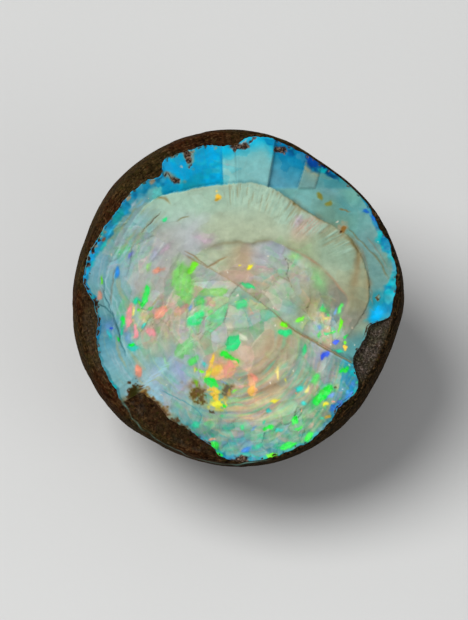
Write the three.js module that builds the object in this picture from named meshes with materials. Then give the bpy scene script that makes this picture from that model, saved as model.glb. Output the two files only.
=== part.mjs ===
import * as THREE from "three";

// Rough opal: a rounded ironstone nodule broken open over its opal core.
// Lengths are millimetres and angles are degrees. The stone is shaped in the frame of its broken face,
// with x to the right, y up the face and z out of it, and is then leaned back onto its rounded back.

// Driving dimensions.
const FACE_LEAN = 28; // between the direction the face looks in and straight up
const WIDEST_RADIUS = 25; // of the nodule, on average
const BACK_DEPTH = 24; // from the widest section to the back of the nodule
const CORE_DEPTH = 19; // from the widest section to the bottom of the opal
const FOOT_DEPTH = 1.2; // how much of the rounded back the worn flat foot takes away
const CENTRE_SHIFT = -0.2; // along Y, so that the stone's box is centred on the origin
const GAP = 0.3; // between the opal and the rind
const THINNEST_RIM = 0.5; // of the rind where the opal comes close to the outside

// Shape of the face.
const FLOOR_HEIGHT = 3.0; // of the middle of the face above the widest section
const DISC_SHARE = 0.3; // of the rise from the floor to the rim that the pale disc makes
const LEDGE_DROP = 0.45; // at the foot of the wall behind the pale disc
const ARC_RISE = 0.5; // from the inner disc up to the pale band
const CRACK_SLOPE = 33; // of the long crack, down to the right
const CRACK_STEP = 0.9; // of the lobe above the rest of the face, at the crack's right end
const LOBE_REACH = 6; // how far from the crack the lobe still stands proud
const GROOVE_DEPTH = 0.3;
const GROOVE_WIDTH = 0.35;
const RIPPLE_CENTRE = { x: 1.0, y: -5.5 };
const RIPPLE_SPACING = 2.7;
const RIPPLE_HEIGHT = 0.16;
const RIPPLES_START = 5.5; // distance from their centre
const RIPPLES_END = 17;
const RIPPLES_FROM = -100; // angle round their centre
const RIPPLES_TO = 10;
const MATRIX_DEPTH = 0.7; // of the granular patch under the lobe's rounded corner
const MATRIX_FROM = 326;
const MATRIX_TO = 352;
const ROCK_ROUGHNESS = 0.22;
const BACK_LUMPS = 0.6;

// How finely the surfaces are divided.
const FACE_RINGS = 25;
const POINTS_PER_RING = 6; // added by each ring of the face
const CRACK_REACH = 0.8; // how far a point of the face moves to lie beside the long crack
const STEP_HALF_WIDTH = 0.12;
const UNDER_COUNTS = [120, 90, 60, 40, 20, 1];
const RIM_STEPS = 3;
const BACK_COUNTS = [150, 120, 120, 96, 96, 84, 72, 60, 48, 30, 12, 1];

// A smooth closed curve through a few points, each an angle round the face and a value there.
function around(points) {
  const count = points.length;
  const at = (index) => {
    const turn = Math.floor(index / count);
    const [angle, value] = points[index - turn * count];
    return { angle: angle + 360 * turn, value };
  };
  const slope = (index) => {
    const before = at(index - 1);
    const after = at(index + 1);
    return (after.value - before.value) / (after.angle - before.angle);
  };
  return (angle) => {
    const turned = THREE.MathUtils.euclideanModulo(angle - points[0][0], 360) + points[0][0];
    let index = 0;
    while (at(index + 1).angle <= turned) {
      index += 1;
    }
    return hermite(at(index), at(index + 1), slope(index), slope(index + 1), turned);
  };
}

function hermite(from, to, slopeFrom, slopeTo, angle) {
  const span = to.angle - from.angle;
  const t = (angle - from.angle) / span;
  const rise = t * t * (3 - 2 * t);
  const leave = t * (1 - t) * (1 - t) * span * slopeFrom;
  const arrive = t * t * (t - 1) * span * slopeTo;
  return from.value + (to.value - from.value) * rise + leave + arrive;
}

const mix = THREE.MathUtils.lerp;
const smooth = THREE.MathUtils.smoothstep;
const radians = THREE.MathUtils.degToRad;
const angleOf = (x, y) => THREE.MathUtils.radToDeg(Math.atan2(y, x));

// Radius of the nodule's widest section.
const outlineRadius = around([
  [0, 25.2], [30, 24.7], [45, 24.2], [60, 24.1], [72, 24.9], [96, 25.6], [120, 25.6], [138, 25.4],
  [162, 24.8], [180, 25.1], [222, 25.7], [246, 25.3], [276, 25.6], [318, 24.8], [330, 24.4], [346, 24.6],
]);

// Radius of the opal's edge on the broken face.
const opalEdge = around([
  [0, 23.2], [6, 23.8], [18, 24.1], [27, 23.4], [36, 23.9], [66, 23.7], [78, 24.3], [86, 24.1],
  [91, 22.9], [102, 23.4], [114, 23.2], [126, 22.2], [150, 22.2], [174, 23.2], [181, 21.7],
  [188, 21.2], [198, 22.1], [216, 22.9], [221, 22.6], [227, 20.1], [240, 20.6], [252, 21.2],
  [261, 23.0], [270, 24.4], [282, 24.3], [294, 23.9], [312, 22.3], [324, 22.0], [332, 19.7],
  [348, 20.1], [354, 22.6],
]);

// Height of the nodule's broken rim above the widest section.
const rimHeight = around([
  [0, 6.0], [20, 4.6], [45, 2.6], [65, 2.8], [80, 3.6], [100, 5.0], [135, 7.0], [180, 6.4], [225, 7.0],
  [262, 6.0], [285, 6.0], [315, 7.5], [340, 7.2],
]);

// The pale disc's outer edge, and how strongly it shows as a ledge.
const ledgeRadius = around([
  [0, 19.6], [17, 19.5], [29, 18.9], [46, 16.8], [58, 16.5], [77, 17.3], [97, 17.1], [116, 17.9],
  [132, 19.4], [156, 19.3], [168, 19.8], [181, 20.0], [188, 19.0], [197, 18.5], [208, 18.6], [227, 17.4],
  [270, 20.0], [300, 19.4], [332, 17.0], [350, 18.4],
]);
const ledgeStrength = around([
  [0, 1], [60, 1], [122, 1], [150, 0.5], [190, 0.7], [204, 0.5], [220, 0], [300, 0], [335, 0], [350, 0.8],
]);

// The brown-edged arc inside the pale band.
const arcRadius = around([
  [356, 16.2], [367, 15.2], [385, 12.7], [401, 10.9], [416, 10.1], [434, 8.7], [464, 8.3], [490, 9.0],
  [540, 9.0], [600, 9.2], [660, 9.5], [690, 12.5],
]);
const arcStrength = around([
  [0, 0.8], [30, 1], [100, 1], [130, 0.6], [160, 0], [260, 0], [330, 0],
]);

// Height of each block of the blue wall against its neighbours, from one angle to the next.
const WALL_BLOCKS = [
  { from: 49, to: 60, rise: 0.25 },
  { from: 60, to: 73, rise: -0.2 },
  { from: 73, to: 91, rise: 0.45 },
  { from: 91, to: 98, rise: 0.05 },
  { from: 98, to: 126, rise: -0.35 },
];

// The long crack across the face, as points from its upper left to its lower right end.
const CRACK = new THREE.CatmullRomCurve3([
  new THREE.Vector3(-7.9, 6.3, 0), new THREE.Vector3(-1.9, 3.1, 0), new THREE.Vector3(4.5, -1.5, 0),
  new THREE.Vector3(8.6, -4.9, 0), new THREE.Vector3(18.0, -10.3, 0),
]).getPoints(24);
const CRACK_START = CRACK[0].x;
const CRACK_END = CRACK.at(-1).x;

function crackHeight(x) {
  const inside = THREE.MathUtils.clamp(x, CRACK_START, CRACK_END - 0.001);
  const index = CRACK.findIndex((point) => point.x > inside);
  const from = CRACK[index - 1];
  const to = CRACK[index];
  return mix(from.y, to.y, (inside - from.x) / (to.x - from.x));
}

// Distance below the crack: positive on the lobe's side.
function belowCrack(x, y) {
  return (crackHeight(x) - y) * Math.cos(radians(CRACK_SLOPE));
}

function rimRadius(angle) {
  return outlineRadius(angle) * Math.sqrt(1 - (rimHeight(angle) / BACK_DEPTH) ** 2);
}

function coreEdge(angle) {
  return Math.min(opalEdge(angle), rimRadius(angle) - GAP - THINNEST_RIM);
}

// The face's height without its cracks: a shallow dish, with a wall behind the ledge.
function dishHeight(angle, radius) {
  const edge = coreEdge(angle);
  const ledge = ledgeRadius(angle);
  const rise = rimHeight(angle) - FLOOR_HEIGHT;
  const bowl = FLOOR_HEIGHT + rise * (radius / edge) ** 3;
  const disc = FLOOR_HEIGHT + DISC_SHARE * rise * (radius / ledge) ** 3;
  const wallFoot = FLOOR_HEIGHT + DISC_SHARE * rise - LEDGE_DROP;
  const up = (radius - ledge) / (edge - ledge);
  const walled = radius < ledge ? disc : mix(wallFoot, FLOOR_HEIGHT + rise, up ** 0.8);
  return mix(bowl, walled, ledgeStrength(angle));
}

// The pale band stands over the inner disc and slopes back to its level at the ledge.
function bandHeight(angle, radius) {
  const arc = arcRadius(angle);
  const ledge = ledgeRadius(angle);
  const fall = smooth(radius, arc, ledge);
  return radius < arc ? 0 : ARC_RISE * arcStrength(angle) * (1 - fall);
}

function blockHeight(angle, radius) {
  const block = WALL_BLOCKS.find(({ from, to }) => angle >= from && angle < to);
  if (!block || radius < ledgeRadius(angle)) {
    return 0;
  }
  return block.rise;
}

// The lobe under the long crack: it stands proud at the crack and carries the curved ripples.
function lobeHeight(x, y) {
  const below = belowCrack(x, y);
  const along = smooth(x, CRACK_START, CRACK_END);
  const onCrack = smooth(x, CRACK_START - 1, CRACK_START + 2) * (1 - smooth(x, CRACK_END, CRACK_END + 1));
  const groove = GROOVE_DEPTH * onCrack * Math.exp(-((below / GROOVE_WIDTH) ** 2));
  if (below < 0) {
    return -groove;
  }
  const step = CRACK_STEP * along * Math.exp(-below / LOBE_REACH);
  return step - groove + rippleHeight(x, y, below);
}

// One between two limits, falling softly to nothing outside them.
function between(value, from, to, soft) {
  return smooth(value, from - soft, from + soft) * (1 - smooth(value, to - soft, to + soft));
}

function rippleHeight(x, y, below) {
  const dx = x - RIPPLE_CENTRE.x;
  const dy = y - RIPPLE_CENTRE.y;
  const distance = Math.hypot(dx, dy);
  const reach = between(distance, RIPPLES_START, RIPPLES_END, 2);
  const turned = between(angleOf(dx, dy), RIPPLES_FROM, RIPPLES_TO, 20);
  const wave = Math.cos((2 * Math.PI * distance) / RIPPLE_SPACING);
  return RIPPLE_HEIGHT * reach * turned * wave * smooth(below, 0, 2);
}

function faceHeight(x, y) {
  const angle = angleOf(x, y);
  const radius = Math.hypot(x, y);
  const relief = bandHeight(angle, radius) + blockHeight(angle, radius) + lobeHeight(x, y);
  return dishHeight(angle, radius) + relief;
}

// Broken rock: a few waves that don't repeat over the stone.
function rock(x, y, z) {
  const coarse = Math.sin(1.9 * x + 0.7 * z) * Math.sin(1.6 * y - 0.8 * x + 0.5 * z);
  const fine = Math.sin(3.7 * x - 2.1 * y + 1.3 * z) * Math.sin(2.9 * y + 2.3 * z + 0.6);
  return 0.6 * coarse + 0.4 * fine;
}

function lumps(x, y, z) {
  const wide = Math.sin(0.31 * x + 0.2 * y + 0.8) * Math.sin(0.27 * y - 0.24 * z + 0.3);
  const small = Math.sin(0.62 * x + 0.5) * Math.sin(0.58 * y + 1.1) * Math.sin(0.55 * z + 0.4);
  return 0.6 * wide + 0.8 * small;
}

// One ring of points: its radius and height are given by angle.
function ring(count, radiusAt, heightAt) {
  return Array.from({ length: count }, (_, index) => {
    const angle = (360 * index) / count;
    const radius = radiusAt(angle);
    const x = radius * Math.cos(radians(angle));
    const y = radius * Math.sin(radians(angle));
    return new THREE.Vector3(x, y, heightAt(angle, x, y));
  });
}

// Points close to a step move onto one side of it or the other, so that it stays sharp.
function beside(distance, reach) {
  if (Math.abs(distance) > reach) {
    return distance;
  }
  return distance < 0 ? -STEP_HALF_WIDTH : STEP_HALF_WIDTH;
}

function snapToRounds(point) {
  const angle = angleOf(point.x, point.y);
  const radius = Math.hypot(point.x, point.y);
  const ringSpacing = coreEdge(angle) / FACE_RINGS;
  const steps = [];
  if (ledgeStrength(angle) > 0.1) {
    steps.push(ledgeRadius(angle));
  }
  if (arcStrength(angle) > 0.1) {
    steps.push(arcRadius(angle));
  }
  const near = steps.find((step) => Math.abs(radius - step) <= ringSpacing);
  if (near !== undefined) {
    point.multiplyScalar((near + beside(radius - near, ringSpacing)) / radius);
  }
  return point;
}

function snapToCrack(point) {
  const below = belowCrack(point.x, point.y);
  if (point.x > CRACK_START && point.x < CRACK_END) {
    const move = below - beside(below, CRACK_REACH);
    point.x += move * Math.sin(radians(CRACK_SLOPE));
    point.y += move * Math.cos(radians(CRACK_SLOPE));
  }
  return point;
}

function coreFace() {
  const centre = [new THREE.Vector3(0, 0, faceHeight(0, 0))];
  const rings = [centre];
  for (let step = 1; step < FACE_RINGS; step += 1) {
    const radiusAt = (angle) => (coreEdge(angle) * step) / FACE_RINGS;
    const flat = ring(POINTS_PER_RING * step, radiusAt, () => 0);
    const snapped = flat.map(snapToRounds).map(snapToCrack);
    rings.push(snapped.map((point) => point.setZ(faceHeight(point.x, point.y))));
  }
  return rings;
}

// The bowl under the face, shared by the opal and, a gap wider, by the hollow in the rind.
function bowlRings(grow) {
  const counts = [POINTS_PER_RING * FACE_RINGS, ...UNDER_COUNTS];
  return counts.map((count, step) => {
    const down = (step / UNDER_COUNTS.length) * 90;
    const width = Math.cos(radians(down));
    const depth = Math.sin(radians(down));
    const top = (angle) => edgeHeight(angle) * (1 - depth) - (CORE_DEPTH + grow) * depth;
    return ring(count, (angle) => (coreEdge(angle) + grow) * width, top);
  });
}

function edgeHeight(angle) {
  const edge = coreEdge(angle);
  return faceHeight(edge * Math.cos(radians(angle)), edge * Math.sin(radians(angle)));
}

// The granular patch on the right lies below the opal's edge.
function matrixDrop(angle) {
  const turned = THREE.MathUtils.euclideanModulo(angle, 360);
  return MATRIX_DEPTH * between(turned, MATRIX_FROM, MATRIX_TO, 4);
}

function rimRings() {
  const rings = [];
  for (let step = 0; step < RIM_STEPS; step += 1) {
    const out = step / RIM_STEPS;
    const radiusAt = (angle) => mix(coreEdge(angle) + GAP, rimRadius(angle), out);
    const heightAt = (angle, x, y) => {
      const level = mix(edgeHeight(angle) - matrixDrop(angle), rimHeight(angle), out);
      const width = rimRadius(angle) - coreEdge(angle);
      const rough = ROCK_ROUGHNESS * smooth(width, 1, 3) * rock(x, y, 0);
      return level + rough;
    };
    rings.push(ring(POINTS_PER_RING * FACE_RINGS, radiusAt, heightAt));
  }
  return rings;
}

// The outside, from the rim over the widest section to the middle of the back.
function backRings() {
  return BACK_COUNTS.map((count, step) => {
    const down = step / (BACK_COUNTS.length - 1);
    const latitude = (angle) => {
      const rim = Math.asin(rimHeight(angle) / BACK_DEPTH);
      return mix(rim, -Math.PI / 2, down ** 0.9);
    };
    const swell = (angle) => {
      const x = WIDEST_RADIUS * Math.cos(latitude(angle)) * Math.cos(radians(angle));
      const y = WIDEST_RADIUS * Math.cos(latitude(angle)) * Math.sin(radians(angle));
      const z = BACK_DEPTH * Math.sin(latitude(angle));
      return (BACK_LUMPS * lumps(x, y, z) * smooth(down, 0.05, 0.35)) / WIDEST_RADIUS;
    };
    const radiusAt = (angle) => outlineRadius(angle) * Math.cos(latitude(angle)) * (1 + swell(angle));
    const heightAt = (angle) => BACK_DEPTH * Math.sin(latitude(angle)) * (1 + swell(angle));
    return ring(count, radiusAt, heightAt);
  });
}

// Joins rings in order into one closed surface. Each ring has any number of points, and one is a tip.
function skin(rings) {
  const points = rings.flat();
  const faces = [];
  let start = 0;
  for (let step = 0; step < rings.length - 1; step += 1) {
    const inner = rings[step].length;
    const outer = rings[step + 1].length;
    const next = start + inner;
    faces.push(...zip(start, inner, next, outer));
    start = next;
  }
  return { points, faces };
}

function zip(start, inner, next, outer) {
  const faces = [];
  let i = 0;
  let j = 0;
  const innerSteps = inner > 1 ? inner : 0;
  const outerSteps = outer > 1 ? outer : 0;
  while (i < innerSteps || j < outerSteps) {
    const innerAt = innerSteps ? (i + 0.5) / innerSteps : 2;
    const outerAt = outerSteps ? (j + 0.5) / outerSteps : 2;
    const a = start + (i % inner);
    const b = next + (j % outer);
    if (i < innerSteps && (j >= outerSteps || innerAt < outerAt)) {
      faces.push(a, b, start + ((i + 1) % inner));
      i += 1;
    } else {
      faces.push(a, b, next + ((j + 1) % outer));
      j += 1;
    }
  }
  return faces;
}

// Leans the stone back from the face's frame and flattens its lowest part into the foot.
function atRest(point) {
  const lean = radians(FACE_LEAN);
  const lowest = Math.hypot(WIDEST_RADIUS * Math.sin(lean), BACK_DEPTH * Math.cos(lean));
  const turned = point.clone().applyAxisAngle(new THREE.Vector3(1, 0, 0), lean);
  turned.y += CENTRE_SHIFT;
  turned.z = Math.max(turned.z + lowest - FOOT_DEPTH, 0);
  return turned;
}

function stonePiece(name, rings, material) {
  const { points, faces } = skin(rings);
  const geometry = new THREE.BufferGeometry().setFromPoints(points.map(atRest));
  geometry.setIndex(faces);
  geometry.computeVertexNormals();
  const piece = new THREE.Mesh(geometry, material);
  piece.name = name;
  return piece;
}

function opalCore() {
  const material = new THREE.MeshStandardMaterial({ color: 0xa9b99e, roughness: 0.3, metalness: 0 });
  return stonePiece("opal_core", [...coreFace(), ...bowlRings(0)], material);
}

function ironstoneRind() {
  const material = new THREE.MeshStandardMaterial({ color: 0x34291a, roughness: 0.8, metalness: 0 });
  const hollow = bowlRings(GAP).reverse().slice(0, -1);
  return stonePiece("ironstone_rind", [...hollow, ...rimRings(), ...backRings()], material);
}

const stone = new THREE.Group();
stone.add(opalCore(), ironstoneRind());

export default stone;
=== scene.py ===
import math
from types import SimpleNamespace

import bpy
import numpy as np
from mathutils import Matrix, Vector


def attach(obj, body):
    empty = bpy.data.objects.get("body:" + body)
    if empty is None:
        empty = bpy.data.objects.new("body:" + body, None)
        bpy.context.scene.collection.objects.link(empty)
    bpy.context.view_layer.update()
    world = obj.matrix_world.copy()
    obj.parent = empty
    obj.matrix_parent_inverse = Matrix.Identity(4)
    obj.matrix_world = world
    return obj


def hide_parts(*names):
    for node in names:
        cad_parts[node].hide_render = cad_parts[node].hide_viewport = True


# Looks of a rough opal: a rounded ironstone nodule broken open over its opal core.
# Lengths are millimetres in the frame of the broken face, with x to the right, y up the face and z out of
# it, where nothing else is said.
# Angles are degrees round the face, from +x towards +y. Colours are 0 to 255, as a screen shows them.

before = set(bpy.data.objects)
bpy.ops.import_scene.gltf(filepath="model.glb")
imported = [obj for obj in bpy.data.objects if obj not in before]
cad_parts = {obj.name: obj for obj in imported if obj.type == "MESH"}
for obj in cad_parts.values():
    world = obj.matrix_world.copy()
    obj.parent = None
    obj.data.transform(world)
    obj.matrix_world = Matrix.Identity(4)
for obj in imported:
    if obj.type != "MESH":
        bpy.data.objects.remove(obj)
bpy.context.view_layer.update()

# Driving dimensions of the stone, the same as the solids have.
FACE_LEAN = 28
WIDEST_RADIUS = 25
BACK_DEPTH = 24
CORE_DEPTH = 19
FOOT_DEPTH = 1.2
CENTRE_SHIFT = -0.2
FLOOR_HEIGHT = 3.0
DISC_SHARE = 0.3
LEDGE_DROP = 0.45
ARC_RISE = 0.5
CRACK_SLOPE = 33
CRACK_STEP = 0.9
LOBE_REACH = 6
RIPPLE_CENTRE = (1.0, -5.5)
RIPPLE_SPACING = 2.7
RIPPLE_HEIGHT = 0.16
MATRIX_DEPTH = 0.7
MATRIX_FROM = 326
MATRIX_TO = 352
BACK_LUMPS = 0.6
MM = 0.001

# The fine relief of the face.
STEP_WIDTH = 0.1
ARC_STEP_WIDTH = 0.8
BLOCK_GROOVE = 0.12
CRACK_GROOVE = 0.3
SCALLOP_SPACING = 1.35
SCALLOP_HEIGHT = 0.12
HACKLE_HEIGHT = 0.07
LARGE_TILT = 0.055
SMALL_TILT = 0.05
SHARD_HEIGHT = 0.07
SEAM_DEPTH = 0.03

# The opal's edge has jags, each a size and a height, and it leaves at least a narrow rim of ironstone.
EDGE_JAGS = ((2.2, 0.22), (0.8, 0.16), (0.35, 0.08))
THINNEST_VISIBLE_RIM = 0.4

# The ironstone goes on a little way under the opal's edge. Its corner is worn round, and its skin is worn.
TUCK = 0.3
TUCK_DROP = 0.22
ROUNDING_PASSES = 14
SKIN_WEAR = 0.2

# How finely the visible surfaces are divided.
FACE_RINGS = 172
POINTS_PER_RING = 6
UNDER_COUNTS = (516, 258, 129, 64, 32, 16, 1)
RIM_POINTS = 900
RIM_RINGS = 26
BAND_RINGS = 40
BAND_SHARE = 0.3
BACK_RINGS = 52
HOLLOW_COUNTS = (1, 16, 32, 64, 129, 258, 450)

# Curves round the face, each through a few pairs of an angle and a value.
OUTLINE = [
    (0, 25.2), (30, 24.7), (45, 24.2), (60, 24.1), (72, 24.9), (96, 25.6), (120, 25.6), (138, 25.4),
    (162, 24.8), (180, 25.1), (222, 25.7), (246, 25.3), (276, 25.6), (318, 24.8), (330, 24.4), (346, 24.6),
]
OPAL_EDGE = [
    (0, 23.2), (6, 23.8), (18, 24.1), (27, 23.4), (36, 23.9), (66, 23.7), (78, 24.3), (86, 24.1),
    (91, 22.9), (102, 23.4), (112, 23.3), (119, 23.1), (122, 21.8), (129, 22.3), (150, 22.3), (174, 23.2),
    (181, 21.7), (188, 21.2), (198, 22.1), (212, 22.7), (218, 22.9), (222, 23.0), (224, 20.6), (227, 19.9),
    (240, 20.6), (252, 21.2), (261, 23.0), (263.5, 23.9), (270, 24.4), (282, 24.3), (294, 23.9),
    (312, 22.3), (324, 22.0), (331, 19.6), (344, 19.8), (349, 20.4), (352, 22.2), (355, 22.9),
]
RIM_HEIGHT = [
    (0, 6.0), (20, 4.6), (45, 2.6), (65, 2.8), (80, 3.6), (100, 5.0), (135, 7.0), (180, 6.4), (225, 7.0),
    (262, 6.0), (285, 6.0), (315, 7.5), (340, 7.2),
]
LEDGE = [
    (0, 19.6), (17, 19.5), (29, 18.9), (46, 16.8), (58, 16.5), (77, 17.3), (97, 17.1), (116, 17.9),
    (132, 19.4), (156, 19.3), (168, 19.8), (181, 20.0), (188, 19.0), (197, 18.5), (208, 18.6), (227, 17.4),
    (270, 20.0), (300, 19.4), (332, 17.0), (350, 18.4),
]
LEDGE_STRENGTH = [
    (0, 1), (60, 1), (120, 1), (140, 0.4), (190, 0.4), (204, 0.3), (220, 0), (300, 0), (335, 0), (350, 0.8),
]
ARC = [
    (356, 16.2), (367, 15.2), (385, 12.7), (401, 10.9), (416, 10.1), (434, 8.7), (464, 8.3), (490, 9.0),
    (540, 9.0), (600, 9.2), (660, 9.5), (690, 12.5),
]
ARC_STRENGTH = [(0, 0.8), (30, 1), (100, 1), (130, 0.6), (160, 0), (260, 0), (330, 0)]

# The long crack's ends and bends, and how clearly it shows at some places from left to right.
CRACK_BENDS = [(-7.9, 6.3), (-1.9, 3.1), (4.5, -1.5), (8.6, -4.9), (18.0, -10.3)]
CRACK_SHARES = ((-8, 0.6), (-4.5, 0.6), (-2, 0.45), (1, 0.3), (4, 0.28), (9, 1.0))

# Each block of the blue wall starts at an angle at the wall's foot and one at the rim, and ends where the
# next one starts. Then come its height, its colour at the foot and at the rim, and how soon the rim's
# colour takes over. The last block ends at the angles after the list.
WALL_BLOCKS = [
    (126.0, 126.0, -0.35, "deep_cyan", "cyan", 0.5),
    (97.4, 96.0, 0.05, "ice_blue", "bright_blue", 2.2),
    (91.0, 91.0, 0.45, "milk", "bright_blue", 2.2),
    (75.0, 76.5, -0.2, "blue_grey", "azure", 1.2),
    (60.4, 64.0, 0.25, "grey_green", "moss", 3.0),
    (51.6, 58.0, 0.0, "haze", "lagoon", 1.0),
]
WALL_END = (30.0, 40.0)

# Right of this place the blocks stand on a flat hazy strip, and their feet are at this level.
STRIP_FROM = 4.9
STRIP_LEVEL = 16.4

PALETTE = {
    "cyan": (0, 178, 236), "deep_cyan": (0, 182, 228), "bright_blue": (0, 190, 232), "azure": (0, 132, 176),
    "blue_grey": (80, 156, 180), "lagoon": (70, 146, 152), "steel": (62, 132, 148), "haze": (100, 148, 148),
    "verdigris": (106, 148, 130), "pale_teal": (104, 163, 156), "aqua": (128, 188, 182),
    "ice": (163, 195, 173), "cream": (178, 190, 160), "straw": (166, 175, 138), "sage": (146, 172, 147),
    "moss": (154, 155, 122), "grey_green": (112, 156, 152), "pearl": (176, 176, 172),
    "lilac": (162, 164, 190), "teal": (98, 166, 152), "sea": (66, 150, 162), "mint": (146, 194, 164),
    "rose": (196, 166, 150), "peach": (202, 186, 158), "rust": (150, 80, 44), "rust_pink": (184, 148, 118),
    "stain": (150, 118, 78), "shade": (84, 104, 104), "green": (0, 242, 66), "lime": (120, 250, 30),
    "lime_sheet": (134, 214, 106), "leaf": (92, 220, 104), "mint_green": (60, 228, 138),
    "soft_green": (136, 206, 136), "sea_green": (40, 206, 160), "soft_lime": (150, 210, 120),
    "pure_green": (0, 240, 30), "azure_flash": (40, 140, 220), "sky_flash": (110, 160, 215),
    "aqua_flash": (50, 214, 200), "cyan_flash": (10, 184, 200), "blue": (56, 96, 236),
    "deep_blue": (10, 104, 186), "violet": (120, 120, 240), "navy": (4, 34, 96), "royal": (0, 70, 142),
    "salmon": (240, 160, 132), "pink": (255, 158, 162), "pink_cloud": (196, 168, 186),
    "orange": (255, 190, 140), "coral": (255, 170, 146), "apricot": (255, 190, 92), "gold": (255, 200, 60),
    "yellow": (244, 234, 60), "cream_yellow": (232, 214, 128), "amber": (144, 104, 46),
    "olive": (132, 130, 52), "bronze": (196, 152, 52), "umber": (84, 56, 26), "loam": (96, 70, 10),
    "tan": (142, 110, 54), "teal_cyan": (0, 192, 190), "ice_blue": (150, 214, 210),
    "ice_facet_painted_light": (122, 240, 234), "fold_brown": (152, 138, 102), "moss_brown": (52, 50, 14),
    "hairline": (124, 96, 62), "earth": (66, 54, 28), "red_earth": (74, 42, 22), "dust": (98, 84, 60),
    "ash": (78, 74, 70), "night": (34, 28, 18), "ochre": (134, 98, 56), "glass": (122, 178, 178),
    "ocean": (0, 96, 150), "olive_brown": (126, 116, 74), "fold_grey": (132, 134, 118),
    "vein": (88, 126, 116), "milk": (132, 194, 192), "frost": (166, 196, 202),
    "opal_white": (184, 190, 190), "periwinkle": (158, 178, 214), "pale_mint": (172, 204, 182),
    "pale_blue": (134, 192, 208), "clay": (184, 160, 126), "pine": (92, 150, 106), "blush": (210, 162, 140),
    "deep_teal": (40, 100, 108), "jade": (40, 160, 108), "turquoise": (14, 144, 164),
    "chalk": (226, 222, 200),
}

# Tints of the opal, each a place, how far it reaches and a colour.
BAND_TINTS = [
    (-13.0, 8.4, 2.8, "ice"), (-16.5, 6.2, 2.4, "frost"), (-10.5, 12.6, 2.2, "pale_mint"),
    (-7.2, 14.4, 2.4, "pale_mint"), (-8.6, 9.2, 2.6, "opal_white"), (-2.2, 14.0, 2.4, "ice"),
    (-1.6, 10.8, 2.8, "cream"), (2.2, 14.9, 2.6, "pale_mint"), (3.6, 11.4, 2.8, "cream"),
    (7.0, 13.0, 2.2, "ice"), (9.5, 10.2, 1.3, "rose"), (10.2, 7.4, 2.0, "straw"), (13.4, 7.8, 2.2, "sage"),
    (15.8, 5.4, 2.2, "sage"), (14.8, 2.6, 2.0, "cream"), (17.2, 0.6, 2.4, "moss"),
    (16.6, -4.2, 2.0, "fold_grey"), (18.0, -7.0, 1.6, "lagoon"),
]
HEART_TINTS = [
    (-3.2, 6.8, 2.0, "cream"), (0.4, 5.4, 2.0, "clay"), (5.4, 6.3, 2.0, "lilac"),
    (3.0, 6.6, 1.2, "opal_white"), (7.4, 5.0, 2.0, "opal_white"), (11.0, 3.2, 2.6, "straw"),
    (13.2, -0.6, 2.2, "fold_grey"), (4.6, 2.8, 2.0, "cream"), (8.0, 0.6, 2.0, "sage"),
    (7.6, -2.2, 1.6, "glass"), (10.4, -2.4, 1.6, "tan"), (13.0, -4.4, 1.8, "deep_teal"),
    (15.2, -8.0, 1.6, "steel"), (1.0, 2.4, 1.8, "rose"), (4.6, -0.6, 1.6, "cream"),
]
LOWER_TINTS = [
    (-18.2, 4.6, 2.4, "pale_blue"), (-18.6, 0.0, 2.2, "glass"), (-19.2, -5.2, 2.6, "blue_grey"),
    (-16.6, -10.8, 2.8, "glass"), (-15.0, 3.4, 2.0, "opal_white"), (-11.4, 1.6, 2.6, "pearl"),
    (-11.4, -3.2, 2.2, "salmon"), (-8.4, -4.8, 2.0, "peach"), (-13.2, -7.8, 2.2, "mint"),
    (-10.6, -11.6, 3.0, "periwinkle"), (-9.0, -13.4, 2.2, "lilac"), (-7.4, -16.2, 2.0, "aqua"),
    (-12.0, -13.6, 2.0, "pale_blue"), (-5.2, 2.2, 2.4, "pearl"), (-2.0, -1.6, 2.4, "cream"),
    (-3.4, -5.2, 2.4, "cream"), (2.0, -2.2, 1.8, "teal"), (3.2, -6.2, 2.0, "cream"),
    (1.4, -9.0, 2.2, "peach"), (5.4, -8.4, 3.0, "clay"), (7.8, -7.0, 1.8, "clay"),
    (3.6, -12.8, 2.6, "clay"), (9.0, -9.6, 2.4, "verdigris"), (11.2, -8.6, 1.6, "lilac"),
    (10.4, -13.0, 2.2, "fold_grey"), (13.6, -11.2, 1.8, "glass"), (15.6, -13.0, 2.0, "ocean"),
    (12.0, -17.2, 2.2, "pine"), (8.2, -16.2, 2.2, "ice"), (8.8, -20.4, 2.4, "jade"),
    (2.4, -18.4, 2.0, "peach"), (-6.0, -19.0, 2.6, "lagoon"), (-1.6, -21.4, 3.0, "turquoise"),
    (4.4, -22.2, 2.2, "turquoise"), (-2.4, -18.2, 1.8, "glass"), (-5.2, -20.0, 1.8, "deep_teal"),
    (-18.0, -9.2, 1.8, "pale_blue"), (-11.8, -12.2, 1.5, "frost"), (-11.6, -12.4, 1.4, "periwinkle"),
    (-17.6, 4.2, 1.4, "pale_blue"), (7.8, -7.6, 1.4, "clay"),
]
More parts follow.
